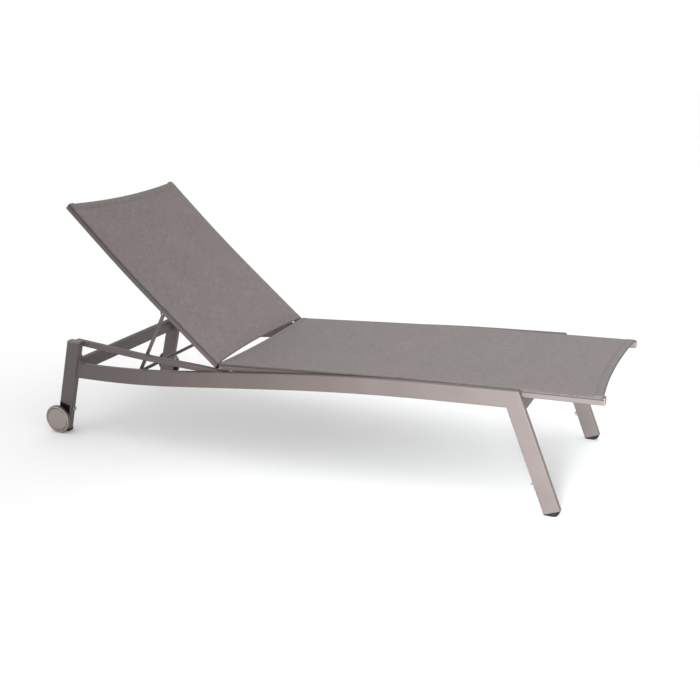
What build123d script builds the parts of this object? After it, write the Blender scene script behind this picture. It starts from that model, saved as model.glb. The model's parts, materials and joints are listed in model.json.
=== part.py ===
from build123d import *
from math import cos, radians, sin, sqrt, tan
import os

os.makedirs("parts", exist_ok=True)

# A sling chaise lounge on an aluminium frame.
# X runs from the head end (-X) to the foot end (+X), Z is up and the floor is Z = 0.
# The lounge is symmetric about the XZ plane. Its user's right-hand side is at -Y.
# Reaches are measured from the backrest's hinge, towards the foot end or the head end.

# Overall sizes
SEAT_REACH = 1234.0
FRAME_HALF = 325.0
HINGE_Z = 309.5
BACK_ANGLE = 40.5
BACK_LENGTH = 738.0
BACK_BEND_REACH = 430.0
BACK_BEND_ANGLE = 3.3
BACK_BEND_RADIUS = 5500.0
LOW_ANGLE = 5.5
HIGH_ANGLE = 44.0

# Side rail and front leg tubes
RAIL_DEPTH = 52.5
TUBE_THICK = 20.0
TUBE_WALL = 2.0
TUBE_EDGE = 3.0
LEG_DEPTH = 51.0
CORNER_RADIUS = 8.0
GUSSET_RADIUS = 24.0
CORNER_REACH = 981.0
CORNER_Z = 339.7
FRONT_LEG_ANGLE = 21.5
FRONT_LEG_END_Z = 11.5

# Course of the side rail: a gentle wave, low at the head end and high at the front leg
RAIL_REAR_Z = 231.7
RAIL_DIP_INSET = 319.0
RAIL_DIP_Z = 234.7
RAIL_DIP_RADIUS = 3500.0
RAIL_CREST_REACH = 490.0
RAIL_CREST_Z = 321.7
RAIL_CREST_RADIUS = 7900.0

# Rear leg tube, whose outer wall stands proud of the side rail
REAR_LEG_DEPTH = 51.5
REAR_LEG_THICK = 27.0
REAR_LEG_WALL = 2.5
REAR_LEG_EDGE = 6.0
REAR_LEG_ANGLE = 14.0
REAR_LEG_TOP = 335.5
REAR_LEG_END_Z = 9.0
REAR_LEG_REACH = 640.0
CAP_HEIGHT = 5.0
CAP_ROUND = 3.0
PLUG_LENGTH = 24.0

# Upper rail: slim tube that carries the lowered backrest
UPPER_DEPTH = 19.0
UPPER_THICK = 20.0
UPPER_WALL = 1.8
UPPER_EDGE = 3.0
UPPER_REAR_INSET = 74.0
UPPER_REAR_Z = 329.5
UPPER_DIP_INSET = 353.0
UPPER_DIP_Z = 305.2
UPPER_DIP_RADIUS = 4000.0
UPPER_TUCK_REACH = 64.0
UPPER_TUCK_Z = 293.8
UPPER_TUCK_RADIUS = 900.0
UPPER_FRONT_REACH = 48.0
UPPER_FRONT_Z = 284.6

# Crossbars
REAR_BAR_Z = 237.0
REAR_BAR_DEPTH = 50.0
FRONT_BAR_DEPTH = 36.0
FRONT_BAR_DROP = 25.0
FRONT_BAR_INSET = 2.8
HEAD_BAR_REACH = 66.0
HEAD_BAR_WIDTH = 30.0
HEAD_BAR_DEPTH = 25.0

# Wheels, the notches behind them and their axles
WHEEL_RADIUS = 50.0
WHEEL_LIFT = 0.8
WHEEL_SHIFT = 2.0
WHEEL_PROUD = 26.0
WHEEL_SIDE = 8.5
WHEEL_SHOULDER = 1.5
COVER_DEPTH = 15.0
COVER_WALL = 2.2
COVER_DOME = 2.6
COVER_GROOVE_RADIUS = 41.0
COVER_GROOVE_WIDTH = 1.6
COVER_GROOVE_DEPTH = 0.8
RIM_DEPTH = 9.0
HUB_RADIUS = 11.0
WEB_THICK = 4.0
AXLE_RADIUS = 5.0
AXLE_HEAD_RADIUS = 8.0
AXLE_HEAD = 2.0
NOTCH_TOP = 108.5
NOTCH_FRONT = 19.5
NOTCH_DEPTH = 4.0
NOTCH_FLOOR = 2.0
CARRIER_HEIGHT = 128.0
SOLE_TOE = 3.0

# Sling rail extrusion, used by the seat and the backrest
SLING_WIDTH = 24.0
SLING_DEPTH = 22.0
SLING_EDGE = 2.5
SLING_WALL = 2.0
SIDE_GAP = 2.0
SLOT_DROP = 5.5
SLOT_RADIUS = 3.4
SLOT_MOUTH = 2.6
KEDER_RADIUS = 2.6
RAIL_CAP = 2.5
RAIL_PLUG = 18.0

# Course of the seat rail: nearly straight, with a slight crown
SEAT_CROWN_REACH = 604.0
SEAT_CROWN_Z = 343.4
SEAT_FOOT_Z = 360.5
SEAT_CROWN_RADIUS = 14000.0
SEAT_HEAD_REACH = 6.8

# Fabric
FABRIC = 1.2
SEAT_SAG = 6.0
BACK_SAG = 6.0
FOOT_HEM_CURVE = 14.5
TOP_HEM_CURVE = 11.0
LOWER_HEM_CURVE = 11.0
SEAT_HEM_CURVE = 4.0
HEM_INSET = 4.0
SEAT_HEM_REACH = 6.8
BACK_HEM_START = 6.5

# Spreader tubes
SPREADER_RADIUS = 9.0
SPREADER_WALL = 1.6
SPREADER_DROP = 5.0
SEAT_SPREADER_REACH = 620.0
TOP_SPREADER_INSET = 41.0
LOW_SPREADER_REACH = 95.0

# Backrest hinge
KNUCKLE_RADIUS = 5.8
KNUCKLE_REACH = 4.5
KNUCKLE_LIP = 1.0
KNUCKLE_SIDE = 0.5
PLATE_THICK = 4.0
PLATE_RADIUS = 9.0
PLATE_START = 22.0
PLATE_END = 62.0
HINGE_PIN_RADIUS = 3.0
HINGE_PIN_INSET = 3.0
PIN_RADIUS = 4.0
PIN_HEAD_RADIUS = 6.5
PIN_HEAD = 3.0

# Support stay and its racks
STAY_REACH = 261.8
STAY_DROP = 26.0
STAY_LENGTH = 243.6
STAY_BRACKET_HALF = 26.0
STAY_ARM_WIDTH = 11.0
STAY_ARM_THICK = 6.0
STAY_EYE_RADIUS = 9.0
STAY_SIDE = 0.6
ROD_RADIUS = 5.75
ROD_SIDE = 1.0
RACK_THICK = 18.0
RACK_ROD_Z = 243.5
RACK_TOOTH = 7.0
RACK_BELLY = 16.0
RACK_FRONT = 26.0
RACK_REAR = 46.0
RACK_EDGE = 2.0
TOOTH_PLAY = 0.4
RACK_ANGLES = (HIGH_ANGLE, BACK_ANGLE, 33.0, 22.0, LOW_ANGLE)

# Screws, bolts and pads
SCREW_RADIUS = 2.5
SCREW_HEAD_RADIUS = 5.0
SCREW_HEAD = 2.6
SCREW_INSET = 9.0
BOLT_RADIUS = 3.0
BOLT_HEAD_RADIUS = 5.5
BOLT_HEAD = 4.0
BOLT_DROP = 4.5
BOLT_REAR_INSET = 481.0
BOLT_FRONT_INSET = 51.0
SPACER_RADIUS = 5.0
BUMPER_RADIUS = 7.0
BUMPER_PROUD = 8.0
BUMPER_DOME = 3.0
BUMPER_Z = 94.0

# Fits and clearances
RUNNING_FIT = 0.08
SEAT_FIT = 0.1
BODY_GAP = 0.3
CUT_OVERRUN = 5.0

# Places worked out from the sizes above
WHEEL_REACH = REAR_LEG_REACH - WHEEL_SHIFT
HINGE_X = (WHEEL_REACH + WHEEL_RADIUS - SEAT_REACH) / 2
INNER_FACE = FRAME_HALF - TUBE_THICK
RAIL_MID = FRAME_HALF - TUBE_THICK / 2
LEG_OUTER = INNER_FACE + REAR_LEG_THICK
LEG_MID = INNER_FACE + REAR_LEG_THICK / 2
SLING_OUTER = INNER_FACE - SIDE_GAP
SLING_INNER = SLING_OUTER - SLING_WIDTH
SLING_MID = SLING_OUTER - SLING_WIDTH / 2
WHEEL_X = HINGE_X - WHEEL_REACH
WHEEL_Z = WHEEL_RADIUS + WHEEL_LIFT
WHEEL_OUTER = LEG_OUTER + WHEEL_PROUD

hinge = Vector(HINGE_X, 0, HINGE_Z)
across = Vector(0, 1, 0)


def lean_axis(lean):
    """Upward direction that leans towards the foot end."""
    return Vector(sin(radians(lean)), 0, cos(radians(lean)))


def back_point(angle, reach, rise):
    """Point of the backrest at an angle, from the hinge along it and square to it."""
    turn = radians(angle)
    along = Vector(-cos(turn), 0, sin(turn)) * reach
    return hinge + along + Vector(sin(turn), 0, cos(turn)) * rise


def export_node(part, name):
    """Writes one named piece."""
    part.label = name
    export_step(part, f"parts/{name}.step")


def export_pair(part, name):
    """Writes the right-hand piece and its mirror image on the left."""
    export_node(part, f"{name}_right")
    export_node(mirror(part, about=Plane.XZ), f"{name}_left")


def export_group(part, name):
    """Writes right-hand pieces and their mirror images as one group of solids."""
    both = list(part.solids()) + list(mirror(part, about=Plane.XZ).solids())
    export_node(Compound(children=both), name)


rear_up = lean_axis(REAR_LEG_ANGLE)
rear_front = Vector(rear_up.Z, 0, -rear_up.X)
front_up = lean_axis(-FRONT_LEG_ANGLE)
front_front = Vector(front_up.Z, 0, -front_up.X)
back_axis = (back_point(BACK_ANGLE, BACK_LENGTH, 0) - hinge).normalized()
back_face = Vector(back_axis.Z, 0, -back_axis.X)
high_axis = (back_point(BACK_ANGLE + BACK_BEND_ANGLE, BACK_LENGTH, 0) - hinge).normalized()
high_face = Vector(high_axis.Z, 0, -high_axis.X)
bend_point = hinge + back_axis * BACK_BEND_REACH


def rear_leg_x(z):
    """Centre line of a rear leg at a height."""
    return HINGE_X - REAR_LEG_REACH + z * tan(radians(REAR_LEG_ANGLE))


# Side rail, mitred to the front leg
corner = Vector(HINGE_X + CORNER_REACH, 0, CORNER_Z)
crest = Vector(HINGE_X + RAIL_CREST_REACH, 0, RAIL_CREST_Z)
front_run = (corner - crest).normalized()
front_rise = Vector(-front_run.Z, 0, front_run.X)
rail_end = corner + front_run * RAIL_DEPTH
spread = front_rise.X * front_front.Z - front_rise.Z * front_front.X
mitre_line = Vector(
    (front_front.Z * RAIL_DEPTH - front_rise.Z * LEG_DEPTH) / 2 / spread,
    0,
    (front_rise.X * LEG_DEPTH - front_front.X * RAIL_DEPTH) / 2 / spread,
)
mitre = Plane(origin=corner, x_dir=(0, 1, 0), z_dir=Vector(mitre_line.Z, 0, -mitre_line.X))
outer_corner = corner + mitre_line
inner_corner = corner - mitre_line
leg_front = Plane(
    origin=Vector(rear_leg_x(0), 0, 0) + rear_front * (REAR_LEG_DEPTH / 2),
    x_dir=(0, 1, 0),
    z_dir=rear_front,
)


# Corner web that rounds the side rail's top into the rear leg's front face
rail_rear = Vector(rear_leg_x(RAIL_REAR_Z), 0, RAIL_REAR_Z)
rear_run = (Vector(HINGE_X - REAR_LEG_REACH + RAIL_DIP_INSET, 0, RAIL_DIP_Z) - rail_rear).normalized()
rear_rise = Vector(-rear_run.Z, 0, rear_run.X)
rail_top = rail_rear + rear_rise * (RAIL_DEPTH / 2)
gusset_reach = (leg_front.origin - rail_top).dot(rear_front) / rear_run.dot(rear_front)
gusset_root = rail_top + rear_run * gusset_reach
gusset_turn = radians(rear_run.get_angle(rear_up))
gusset_leg = GUSSET_RADIUS / tan(gusset_turn / 2)
gusset_high = gusset_root + rear_up * gusset_leg
gusset_low = gusset_root + rear_run * gusset_leg


def tube_section(thick, depth, wall, edge):
    """Draws a rectangular tube: thick across the lounge, deep up the section."""
    RectangleRounded(thick, depth, edge)
    RectangleRounded(thick - 2 * wall, depth - 2 * wall, edge / 2, mode=Mode.SUBTRACT)


def soften_corner():
    """Rounds the outer corner where the side rail meets the front leg."""
    bend = front_front.get_angle(front_rise) / 2
    cut = CORNER_RADIUS * tan(radians(bend))
    start = outer_corner - front_run * cut
    end = outer_corner - front_up * cut
    middle = outer_corner - mitre_line.normalized() * (CORNER_RADIUS / cos(radians(bend)) - CORNER_RADIUS)
    with BuildSketch(Plane.XZ.offset(INNER_FACE - CUT_OVERRUN)) as waste:
        with BuildLine():
            ThreePointArc((start.X, start.Z), (middle.X, middle.Z), (end.X, end.Z))
            Polyline(
                (end.X, end.Z),
                (end.X + CUT_OVERRUN, end.Z),
                (outer_corner.X + CUT_OVERRUN, outer_corner.Z + CUT_OVERRUN),
                (start.X, start.Z + CUT_OVERRUN),
                (start.X, start.Z),
            )
        make_face()
    extrude(waste.sketch, amount=TUBE_THICK + 2 * CUT_OVERRUN, mode=Mode.SUBTRACT)


# Seat rail centre line
seat_head = Vector(HINGE_X, 0, HINGE_Z)
seat_crown = Vector(HINGE_X + SEAT_CROWN_REACH, 0, SEAT_CROWN_Z)
seat_foot = Vector(HINGE_X + SEAT_REACH, 0, SEAT_FOOT_Z)
seat_run = (seat_crown - seat_head).normalized()
seat_end_run = (seat_foot - seat_crown).normalized()


def seat_point(reach, rise):
    """Point of the seat rail's line, from the hinge along X and square to the rail."""
    if reach < SEAT_CROWN_REACH:
        start, run = seat_head, seat_run
    else:
        start, run = seat_crown, seat_end_run
    along = start + run * ((HINGE_X + reach - start.X) / run.X)
    return along + Vector(-run.Z, 0, run.X) * rise


bolt_reaches = (CORNER_REACH - BOLT_REAR_INSET, CORNER_REACH - BOLT_FRONT_INSET)
bolt_points = [seat_point(reach, -BOLT_DROP) for reach in bolt_reaches]
bolt_spots = [(point.X, point.Z) for point in bolt_points]


def side_holes(spots, radius, inner, outer):
    """Drills holes across the lounge's right side, between two distances from its middle."""
    with BuildSketch(Plane.XZ.offset(inner)) as holes:
        with Locations(*spots):
            Circle(radius)
    extrude(holes.sketch, amount=outer - inner, mode=Mode.SUBTRACT)


with BuildPart() as side_rail:
    with BuildLine(Plane.XZ.offset(RAIL_MID)) as rail_line:
        FilletPolyline(
            (rear_leg_x(RAIL_REAR_Z), RAIL_REAR_Z),
            (HINGE_X - REAR_LEG_REACH + RAIL_DIP_INSET, RAIL_DIP_Z),
            (crest.X, crest.Z),
            (rail_end.X, rail_end.Z),
            radius=[RAIL_DIP_RADIUS, RAIL_CREST_RADIUS],
        )
    with BuildSketch(Plane(origin=rail_line.line @ 0, x_dir=(0, 1, 0), z_dir=rail_line.line % 0)):
        tube_section(TUBE_THICK, RAIL_DEPTH, TUBE_WALL, TUBE_EDGE)
    sweep()
    split(bisect_by=mitre, keep=Keep.BOTTOM)
    split(bisect_by=leg_front, keep=Keep.TOP)
    soften_corner()
    with BuildSketch(Plane.XZ.offset(INNER_FACE)):
        with BuildLine():
            Line((gusset_root.X, gusset_root.Z), (gusset_high.X, gusset_high.Z))
            RadiusArc((gusset_high.X, gusset_high.Z), (gusset_low.X, gusset_low.Z), -GUSSET_RADIUS)
            Line((gusset_low.X, gusset_low.Z), (gusset_root.X, gusset_root.Z))
        make_face()
    extrude(amount=TUBE_THICK)
    side_holes(bolt_spots, BOLT_RADIUS + SEAT_FIT, INNER_FACE - CUT_OVERRUN, INNER_FACE + CUT_OVERRUN)
export_pair(side_rail.part, "side_rail")

# Front leg, square at its lower end
front_end = corner - front_up * ((CORNER_Z - FRONT_LEG_END_Z) / front_up.Z)
with BuildPart() as front_leg:
    with BuildSketch(Plane(origin=front_end - across * RAIL_MID, x_dir=across, z_dir=front_up)):
        tube_section(TUBE_THICK, LEG_DEPTH, TUBE_WALL, TUBE_EDGE)
    extrude(amount=(corner - front_end).length + RAIL_DEPTH)
    split(bisect_by=mitre, keep=Keep.TOP)
    soften_corner()
export_pair(front_leg.part, "front_leg")

# Front foot: a plug in the leg's end and a shoe below it, flat at the heel and round at the toe
heel = front_end - front_front * (LEG_DEPTH / 2)
toe = front_end + front_front * (LEG_DEPTH / 2)
sole_turn = front_end.X + SOLE_TOE
with BuildPart() as front_foot:
    with BuildSketch(Plane(origin=front_end - across * RAIL_MID, x_dir=across, z_dir=front_up)):
        RectangleRounded(
            TUBE_THICK - 2 * TUBE_WALL - 2 * SEAT_FIT,
            LEG_DEPTH - 2 * TUBE_WALL - 2 * SEAT_FIT,
            TUBE_EDGE / 2,
        )
    extrude(amount=PLUG_LENGTH)
    with BuildSketch(Plane.XZ.offset(INNER_FACE)):
        with BuildLine():
            Polyline((toe.X, toe.Z), (heel.X, heel.Z), (heel.X + SOLE_TOE / 2, 0), (sole_turn, 0))
            TangentArc((sole_turn, 0), (toe.X, toe.Z), tangent=(1, 0))
        make_face()
    extrude(amount=TUBE_THICK)
export_pair(front_foot.part, "front_foot")

pocket_y = LEG_OUTER - NOTCH_DEPTH


def notch_shape(back, front, top):
    """Draws the notch behind the wheel, square to the rear leg, from its sides' distances."""
    low = Vector(rear_leg_x(0), 0, 0) - rear_up * NOTCH_TOP
    high = Vector(rear_leg_x(0), 0, 0) + rear_up * top
    Polygon(
        ((low - rear_front * back).X, (low - rear_front * back).Z),
        ((low + rear_front * front).X, (low + rear_front * front).Z),
        ((high + rear_front * front).X, (high + rear_front * front).Z),
        ((high - rear_front * back).X, (high - rear_front * back).Z),
        align=None,
    )


# Rear leg with a notch behind the wheel, open to its rear edge
with BuildPart() as rear_leg:
    with BuildSketch(Plane(origin=(rear_leg_x(0), -LEG_MID, 0), x_dir=across, z_dir=rear_up)):
        tube_section(REAR_LEG_THICK, REAR_LEG_DEPTH, REAR_LEG_WALL, REAR_LEG_EDGE)
    extrude(amount=REAR_LEG_TOP + REAR_LEG_DEPTH)
    split(bisect_by=Plane.XY.offset(REAR_LEG_TOP), keep=Keep.BOTTOM)
    split(bisect_by=Plane.XY.offset(REAR_LEG_END_Z), keep=Keep.TOP)
    with BuildSketch(Plane.XZ.offset(pocket_y - NOTCH_FLOOR)):
        notch_shape(REAR_LEG_DEPTH, NOTCH_FRONT, NOTCH_TOP)
    extrude(amount=REAR_LEG_THICK, mode=Mode.SUBTRACT)
export_pair(rear_leg.part, "rear_leg")

# Cap in the rear leg's top
leg_run = REAR_LEG_DEPTH / cos(radians(REAR_LEG_ANGLE))
cap_x = rear_leg_x(REAR_LEG_TOP)
with BuildPart() as rear_leg_cap:
    with BuildSketch(Plane((cap_x, -LEG_MID, REAR_LEG_TOP))):
        RectangleRounded(leg_run, REAR_LEG_THICK, REAR_LEG_EDGE)
    extrude(amount=CAP_HEIGHT)
    fillet(rear_leg_cap.faces().sort_by(Axis.Z)[-1].edges(), CAP_ROUND)
    with BuildSketch(Plane(origin=(cap_x, -LEG_MID, REAR_LEG_TOP), x_dir=across, z_dir=-rear_up)) as cap_plug:
        RectangleRounded(
            REAR_LEG_THICK - 2 * REAR_LEG_WALL - 2 * SEAT_FIT,
            REAR_LEG_DEPTH - 2 * REAR_LEG_WALL - 2 * SEAT_FIT,
            REAR_LEG_EDGE / 2,
        )
    extrude(amount=PLUG_LENGTH)
export_pair(rear_leg_cap.part, "rear_leg_cap")

# Wheel carrier: fills the leg's lower end, floors the notch, seats the axle and stands on the floor
sole_radius = WHEEL_RADIUS - WHEEL_LIFT
sole_front = rear_leg_x(0) + leg_run / 2
sole_bend = WHEEL_X - sqrt(sole_radius**2 - (WHEEL_Z - REAR_LEG_END_Z) ** 2)
sole_middle = WHEEL_X - sole_radius / 4
with BuildPart() as wheel_carrier:
    with BuildSketch(Plane(origin=(rear_leg_x(0), -LEG_MID, 0), x_dir=across, z_dir=rear_up)):
        RectangleRounded(
            REAR_LEG_THICK - 2 * REAR_LEG_WALL - 2 * SEAT_FIT,
            REAR_LEG_DEPTH - 2 * REAR_LEG_WALL - 2 * SEAT_FIT,
            REAR_LEG_EDGE / 2,
        )
    extrude(amount=CARRIER_HEIGHT)
    split(bisect_by=Plane.XY.offset(REAR_LEG_END_Z), keep=Keep.TOP)
    with BuildSketch(Plane.XZ.offset(pocket_y - NOTCH_FLOOR)):
        notch_shape(REAR_LEG_DEPTH, NOTCH_FRONT, NOTCH_TOP)
    extrude(amount=REAR_LEG_THICK, mode=Mode.SUBTRACT)
    with BuildSketch(Plane.XZ.offset(pocket_y - NOTCH_FLOOR)):
        notch_shape(REAR_LEG_DEPTH / 2, NOTCH_FRONT - SEAT_FIT, NOTCH_TOP - SEAT_FIT)
        with Locations((rear_leg_x(0), REAR_LEG_END_Z - RAIL_DEPTH)):
            Rectangle(4 * RAIL_DEPTH, 2 * RAIL_DEPTH, mode=Mode.SUBTRACT)
        with Locations((rear_leg_x(0), REAR_LEG_END_Z - 3 * RAIL_DEPTH)):
            Rectangle(4 * RAIL_DEPTH, 4 * RAIL_DEPTH, mode=Mode.SUBTRACT)
    extrude(amount=NOTCH_FLOOR)
    with BuildSketch(Plane.XZ.offset(INNER_FACE)):
        with BuildLine():
            Polyline((WHEEL_X, WHEEL_Z - sole_radius), (WHEEL_X, 0), (sole_front - SOLE_TOE / 3, 0))
            Line((sole_front - SOLE_TOE / 3, 0), (sole_front + REAR_LEG_END_Z / 4, REAR_LEG_END_Z))
            Line((sole_front + REAR_LEG_END_Z / 4, REAR_LEG_END_Z), (sole_bend, REAR_LEG_END_Z))
            ThreePointArc(
                (sole_bend, REAR_LEG_END_Z),
                (sole_middle, WHEEL_Z - sqrt(sole_radius**2 - (WHEEL_X - sole_middle) ** 2)),
                (WHEEL_X, WHEEL_Z - sole_radius),
            )
        make_face()
    extrude(amount=pocket_y - INNER_FACE)
    axle_inner = INNER_FACE + REAR_LEG_WALL + SEAT_FIT
    side_holes([(WHEEL_X, WHEEL_Z)], AXLE_RADIUS + SEAT_FIT, axle_inner, LEG_OUTER)
export_pair(wheel_carrier.part, "wheel_carrier")

# Wheel: rim, web and hub in one black moulding, with a shoulder that the cover sits against
wheel_axis = Plane(origin=(WHEEL_X, 0, WHEEL_Z), x_dir=(1, 0, 0), z_dir=(0, 0, 1))
cover_back = WHEEL_OUTER - COVER_DEPTH
dome_edge = WHEEL_OUTER - COVER_DOME
cover_floor = dome_edge - COVER_DOME
tyre_back = LEG_OUTER + WHEEL_SIDE
rim_radius = WHEEL_RADIUS - COVER_WALL - SEAT_FIT
hub_back = pocket_y + 2 * BODY_GAP
wheel_face = cover_floor - AXLE_HEAD - 2 * BODY_GAP
web_back = wheel_face - WEB_THICK
bore = AXLE_RADIUS + RUNNING_FIT
with BuildPart() as wheel:
    with BuildSketch(wheel_axis):
        Polygon(
            (bore, -hub_back),
            (HUB_RADIUS, -hub_back),
            (HUB_RADIUS, -web_back),
            (rim_radius - RIM_DEPTH, -web_back),
            (rim_radius - RIM_DEPTH, -tyre_back),
            (WHEEL_RADIUS - WHEEL_SHOULDER, -tyre_back),
            (WHEEL_RADIUS - WHEEL_SHOULDER, -cover_back),
            (rim_radius, -cover_back),
            (rim_radius, -wheel_face),
            (bore, -wheel_face),
            align=None,
        )
    revolve(axis=Axis((WHEEL_X, 0, WHEEL_Z), (0, 1, 0)))
export_pair(wheel.part, "wheel")

# Wheel cover: a shallow domed disc with a skirt, which rolls, and a groove near its rim
dome_radius = WHEEL_RADIUS - COVER_DOME
skirt_radius = WHEEL_RADIUS - COVER_WALL
with BuildPart() as wheel_cover:
    with BuildSketch(wheel_axis):
        with BuildLine():
            ThreePointArc(
                (0, -WHEEL_OUTER),
                (WHEEL_RADIUS / 2, -WHEEL_OUTER + COVER_DOME / 5),
                (dome_radius, -dome_edge),
            )
            Polyline((dome_radius, -dome_edge), (WHEEL_RADIUS, -cover_floor), (WHEEL_RADIUS, -cover_back))
            Polyline((WHEEL_RADIUS, -cover_back), (skirt_radius, -cover_back), (skirt_radius, -cover_floor))
            Polyline((skirt_radius, -cover_floor), (0, -cover_floor), (0, -WHEEL_OUTER))
        make_face()
        with Locations((COVER_GROOVE_RADIUS, -dome_edge - COVER_GROOVE_DEPTH)):
            Rectangle(
                COVER_GROOVE_WIDTH,
                COVER_DOME,
                align=(Align.CENTER, Align.MAX),
                mode=Mode.SUBTRACT,
            )
    revolve(axis=Axis((WHEEL_X, 0, WHEEL_Z), (0, 1, 0)))
export_pair(wheel_cover.part, "wheel_cover")

# Axle stub with its head inside the cover
axle_root = INNER_FACE + REAR_LEG_WALL + 2 * SEAT_FIT
with BuildPart() as wheel_axle:
    with BuildSketch(Plane.XZ.offset(axle_root)):
        with Locations((WHEEL_X, WHEEL_Z)):
            Circle(AXLE_RADIUS)
    extrude(amount=wheel_face + BODY_GAP - axle_root)
    with BuildSketch(Plane.XZ.offset(wheel_face + BODY_GAP)):
        with Locations((WHEEL_X, WHEEL_Z)):
            Circle(AXLE_HEAD_RADIUS)
    extrude(amount=AXLE_HEAD)
export_pair(wheel_axle.part, "wheel_axle")

# Upper rail, welded to the inner faces of the rear leg and the side rail
with BuildPart() as upper_rail:
    with BuildLine(Plane.XZ.offset(INNER_FACE - UPPER_THICK / 2)) as upper_line:
        FilletPolyline(
            (HINGE_X - REAR_LEG_REACH + UPPER_REAR_INSET, UPPER_REAR_Z),
            (HINGE_X - REAR_LEG_REACH + UPPER_DIP_INSET, UPPER_DIP_Z),
            (HINGE_X - UPPER_TUCK_REACH, UPPER_TUCK_Z),
            (HINGE_X + UPPER_FRONT_REACH, UPPER_FRONT_Z),
            radius=[UPPER_DIP_RADIUS, UPPER_TUCK_RADIUS],
        )
    with BuildSketch(Plane(origin=upper_line.line @ 0, x_dir=(0, 1, 0), z_dir=upper_line.line % 0)):
        tube_section(UPPER_THICK, UPPER_DEPTH, UPPER_WALL, UPPER_EDGE)
    sweep()
export_pair(upper_rail.part, "upper_rail")


def crossbar(centre, front, depth, thick, half):
    """Draws and extrudes a rectangular tube that lies across the lounge."""
    with BuildSketch(Plane(origin=centre - across * half, x_dir=front, z_dir=across)) as section:
        RectangleRounded(thick, depth, TUBE_EDGE)
        RectangleRounded(thick - 2 * TUBE_WALL, depth - 2 * TUBE_WALL, TUBE_EDGE / 2, mode=Mode.SUBTRACT)
    extrude(section.sketch, amount=2 * half)


with BuildPart() as rear_crossbar:
    rear_bar = Vector(rear_leg_x(REAR_BAR_Z), 0, REAR_BAR_Z)
    crossbar(rear_bar, rear_front, REAR_BAR_DEPTH, TUBE_THICK, INNER_FACE)
export_node(rear_crossbar.part, "rear_crossbar")

front_bar_shift = LEG_DEPTH / 2 - FRONT_BAR_INSET - TUBE_THICK / 2
front_bar = corner - front_up * FRONT_BAR_DROP + front_front * front_bar_shift
with BuildPart() as front_crossbar:
    crossbar(front_bar, front_front, FRONT_BAR_DEPTH, TUBE_THICK, INNER_FACE)
export_node(front_crossbar.part, "front_crossbar")

head_bar = seat_point(HEAD_BAR_REACH, -SLING_DEPTH / 2 - HEAD_BAR_DEPTH / 2)
with BuildPart() as seat_head_crossbar:
    crossbar(head_bar, seat_run, HEAD_BAR_DEPTH, HEAD_BAR_WIDTH, INNER_FACE)
export_node(seat_head_crossbar.part, "seat_head_crossbar")

# Sling rail section, with a slot in its outer side that holds the edge cord of the fabric
slot_centre = SLING_WIDTH / 2 - SLING_WALL - SLOT_RADIUS
slot_height = SLING_DEPTH / 2 - SLOT_DROP
hollow_low = -SLING_DEPTH / 2 + SLING_WALL
hollow_high = slot_height - SLOT_RADIUS - SLING_WALL
hollow_edge = slot_centre - SLOT_RADIUS - SLING_WALL
hollow_side = SLING_WIDTH / 2 - SLING_WALL


def sling_section(outward):
    """Draws the sling rail's section with its slot on the side named by the sign."""
    RectangleRounded(SLING_WIDTH, SLING_DEPTH, SLING_EDGE)
    with Locations((0, (hollow_low + hollow_high) / 2)):
        Rectangle(2 * hollow_side, hollow_high - hollow_low, mode=Mode.SUBTRACT)
    with Locations((outward * (hollow_edge - hollow_side) / 2, 0)):
        Rectangle(hollow_edge + hollow_side, -2 * hollow_low, mode=Mode.SUBTRACT)
    with Locations((outward * slot_centre, slot_height)):
        Circle(SLOT_RADIUS, mode=Mode.SUBTRACT)
    with Locations((outward * (slot_centre + SLING_WIDTH / 2) / 2, slot_height)):
        Rectangle(SLING_WIDTH / 2 - slot_centre + SLING_WALL, SLOT_MOUTH, mode=Mode.SUBTRACT)


def cap_section(outward):
    """Draws the plug of a rail's end cap."""
    with Locations((0, (hollow_low + hollow_high) / 2)):
        Rectangle(2 * hollow_side - 2 * SEAT_FIT, hollow_high - hollow_low - 2 * SEAT_FIT)


# Seat rail
seat_start = seat_point(SEAT_HEAD_REACH + RAIL_CAP, 0)
seat_stop = seat_point(SEAT_REACH - RAIL_CAP, 0)
head_face = Plane(origin=seat_start - across * SLING_MID, x_dir=across, z_dir=seat_run)
foot_face = Plane(origin=seat_stop - across * SLING_MID, x_dir=across, z_dir=seat_end_run)
plate_points = [seat_point(PLATE_START + SCREW_INSET, 0), seat_point(PLATE_END - SCREW_INSET, 0)]
plate_spots = [(point.X, point.Z) for point in plate_points]


def seat_line(offset_y, rise, begin, end):
    """Draws the seat rail's course on a plane, raised square to it, between two reaches."""
    first = seat_point(begin, rise)
    last = seat_point(end, rise)
    with BuildLine(Plane.XZ.offset(offset_y)) as course:
        FilletPolyline(
            (first.X, first.Z),
            (seat_crown.X, seat_crown.Z + rise),
            (last.X, last.Z),
            radius=SEAT_CROWN_RADIUS,
        )
    return course


with BuildPart() as seat_rail:
    rail_course = seat_line(SLING_MID, 0, SEAT_HEAD_REACH + RAIL_CAP, SEAT_REACH - RAIL_CAP)
    with BuildSketch(head_face):
        sling_section(-1)
    sweep(path=rail_course.line)
    side_holes(bolt_spots, BOLT_RADIUS + SEAT_FIT, SLING_INNER - CUT_OVERRUN, SLING_OUTER + CUT_OVERRUN)
    side_holes(plate_spots, SCREW_RADIUS + SEAT_FIT, SLING_INNER - CUT_OVERRUN, SLING_INNER + CUT_OVERRUN)
export_pair(seat_rail.part, "seat_rail")

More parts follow.
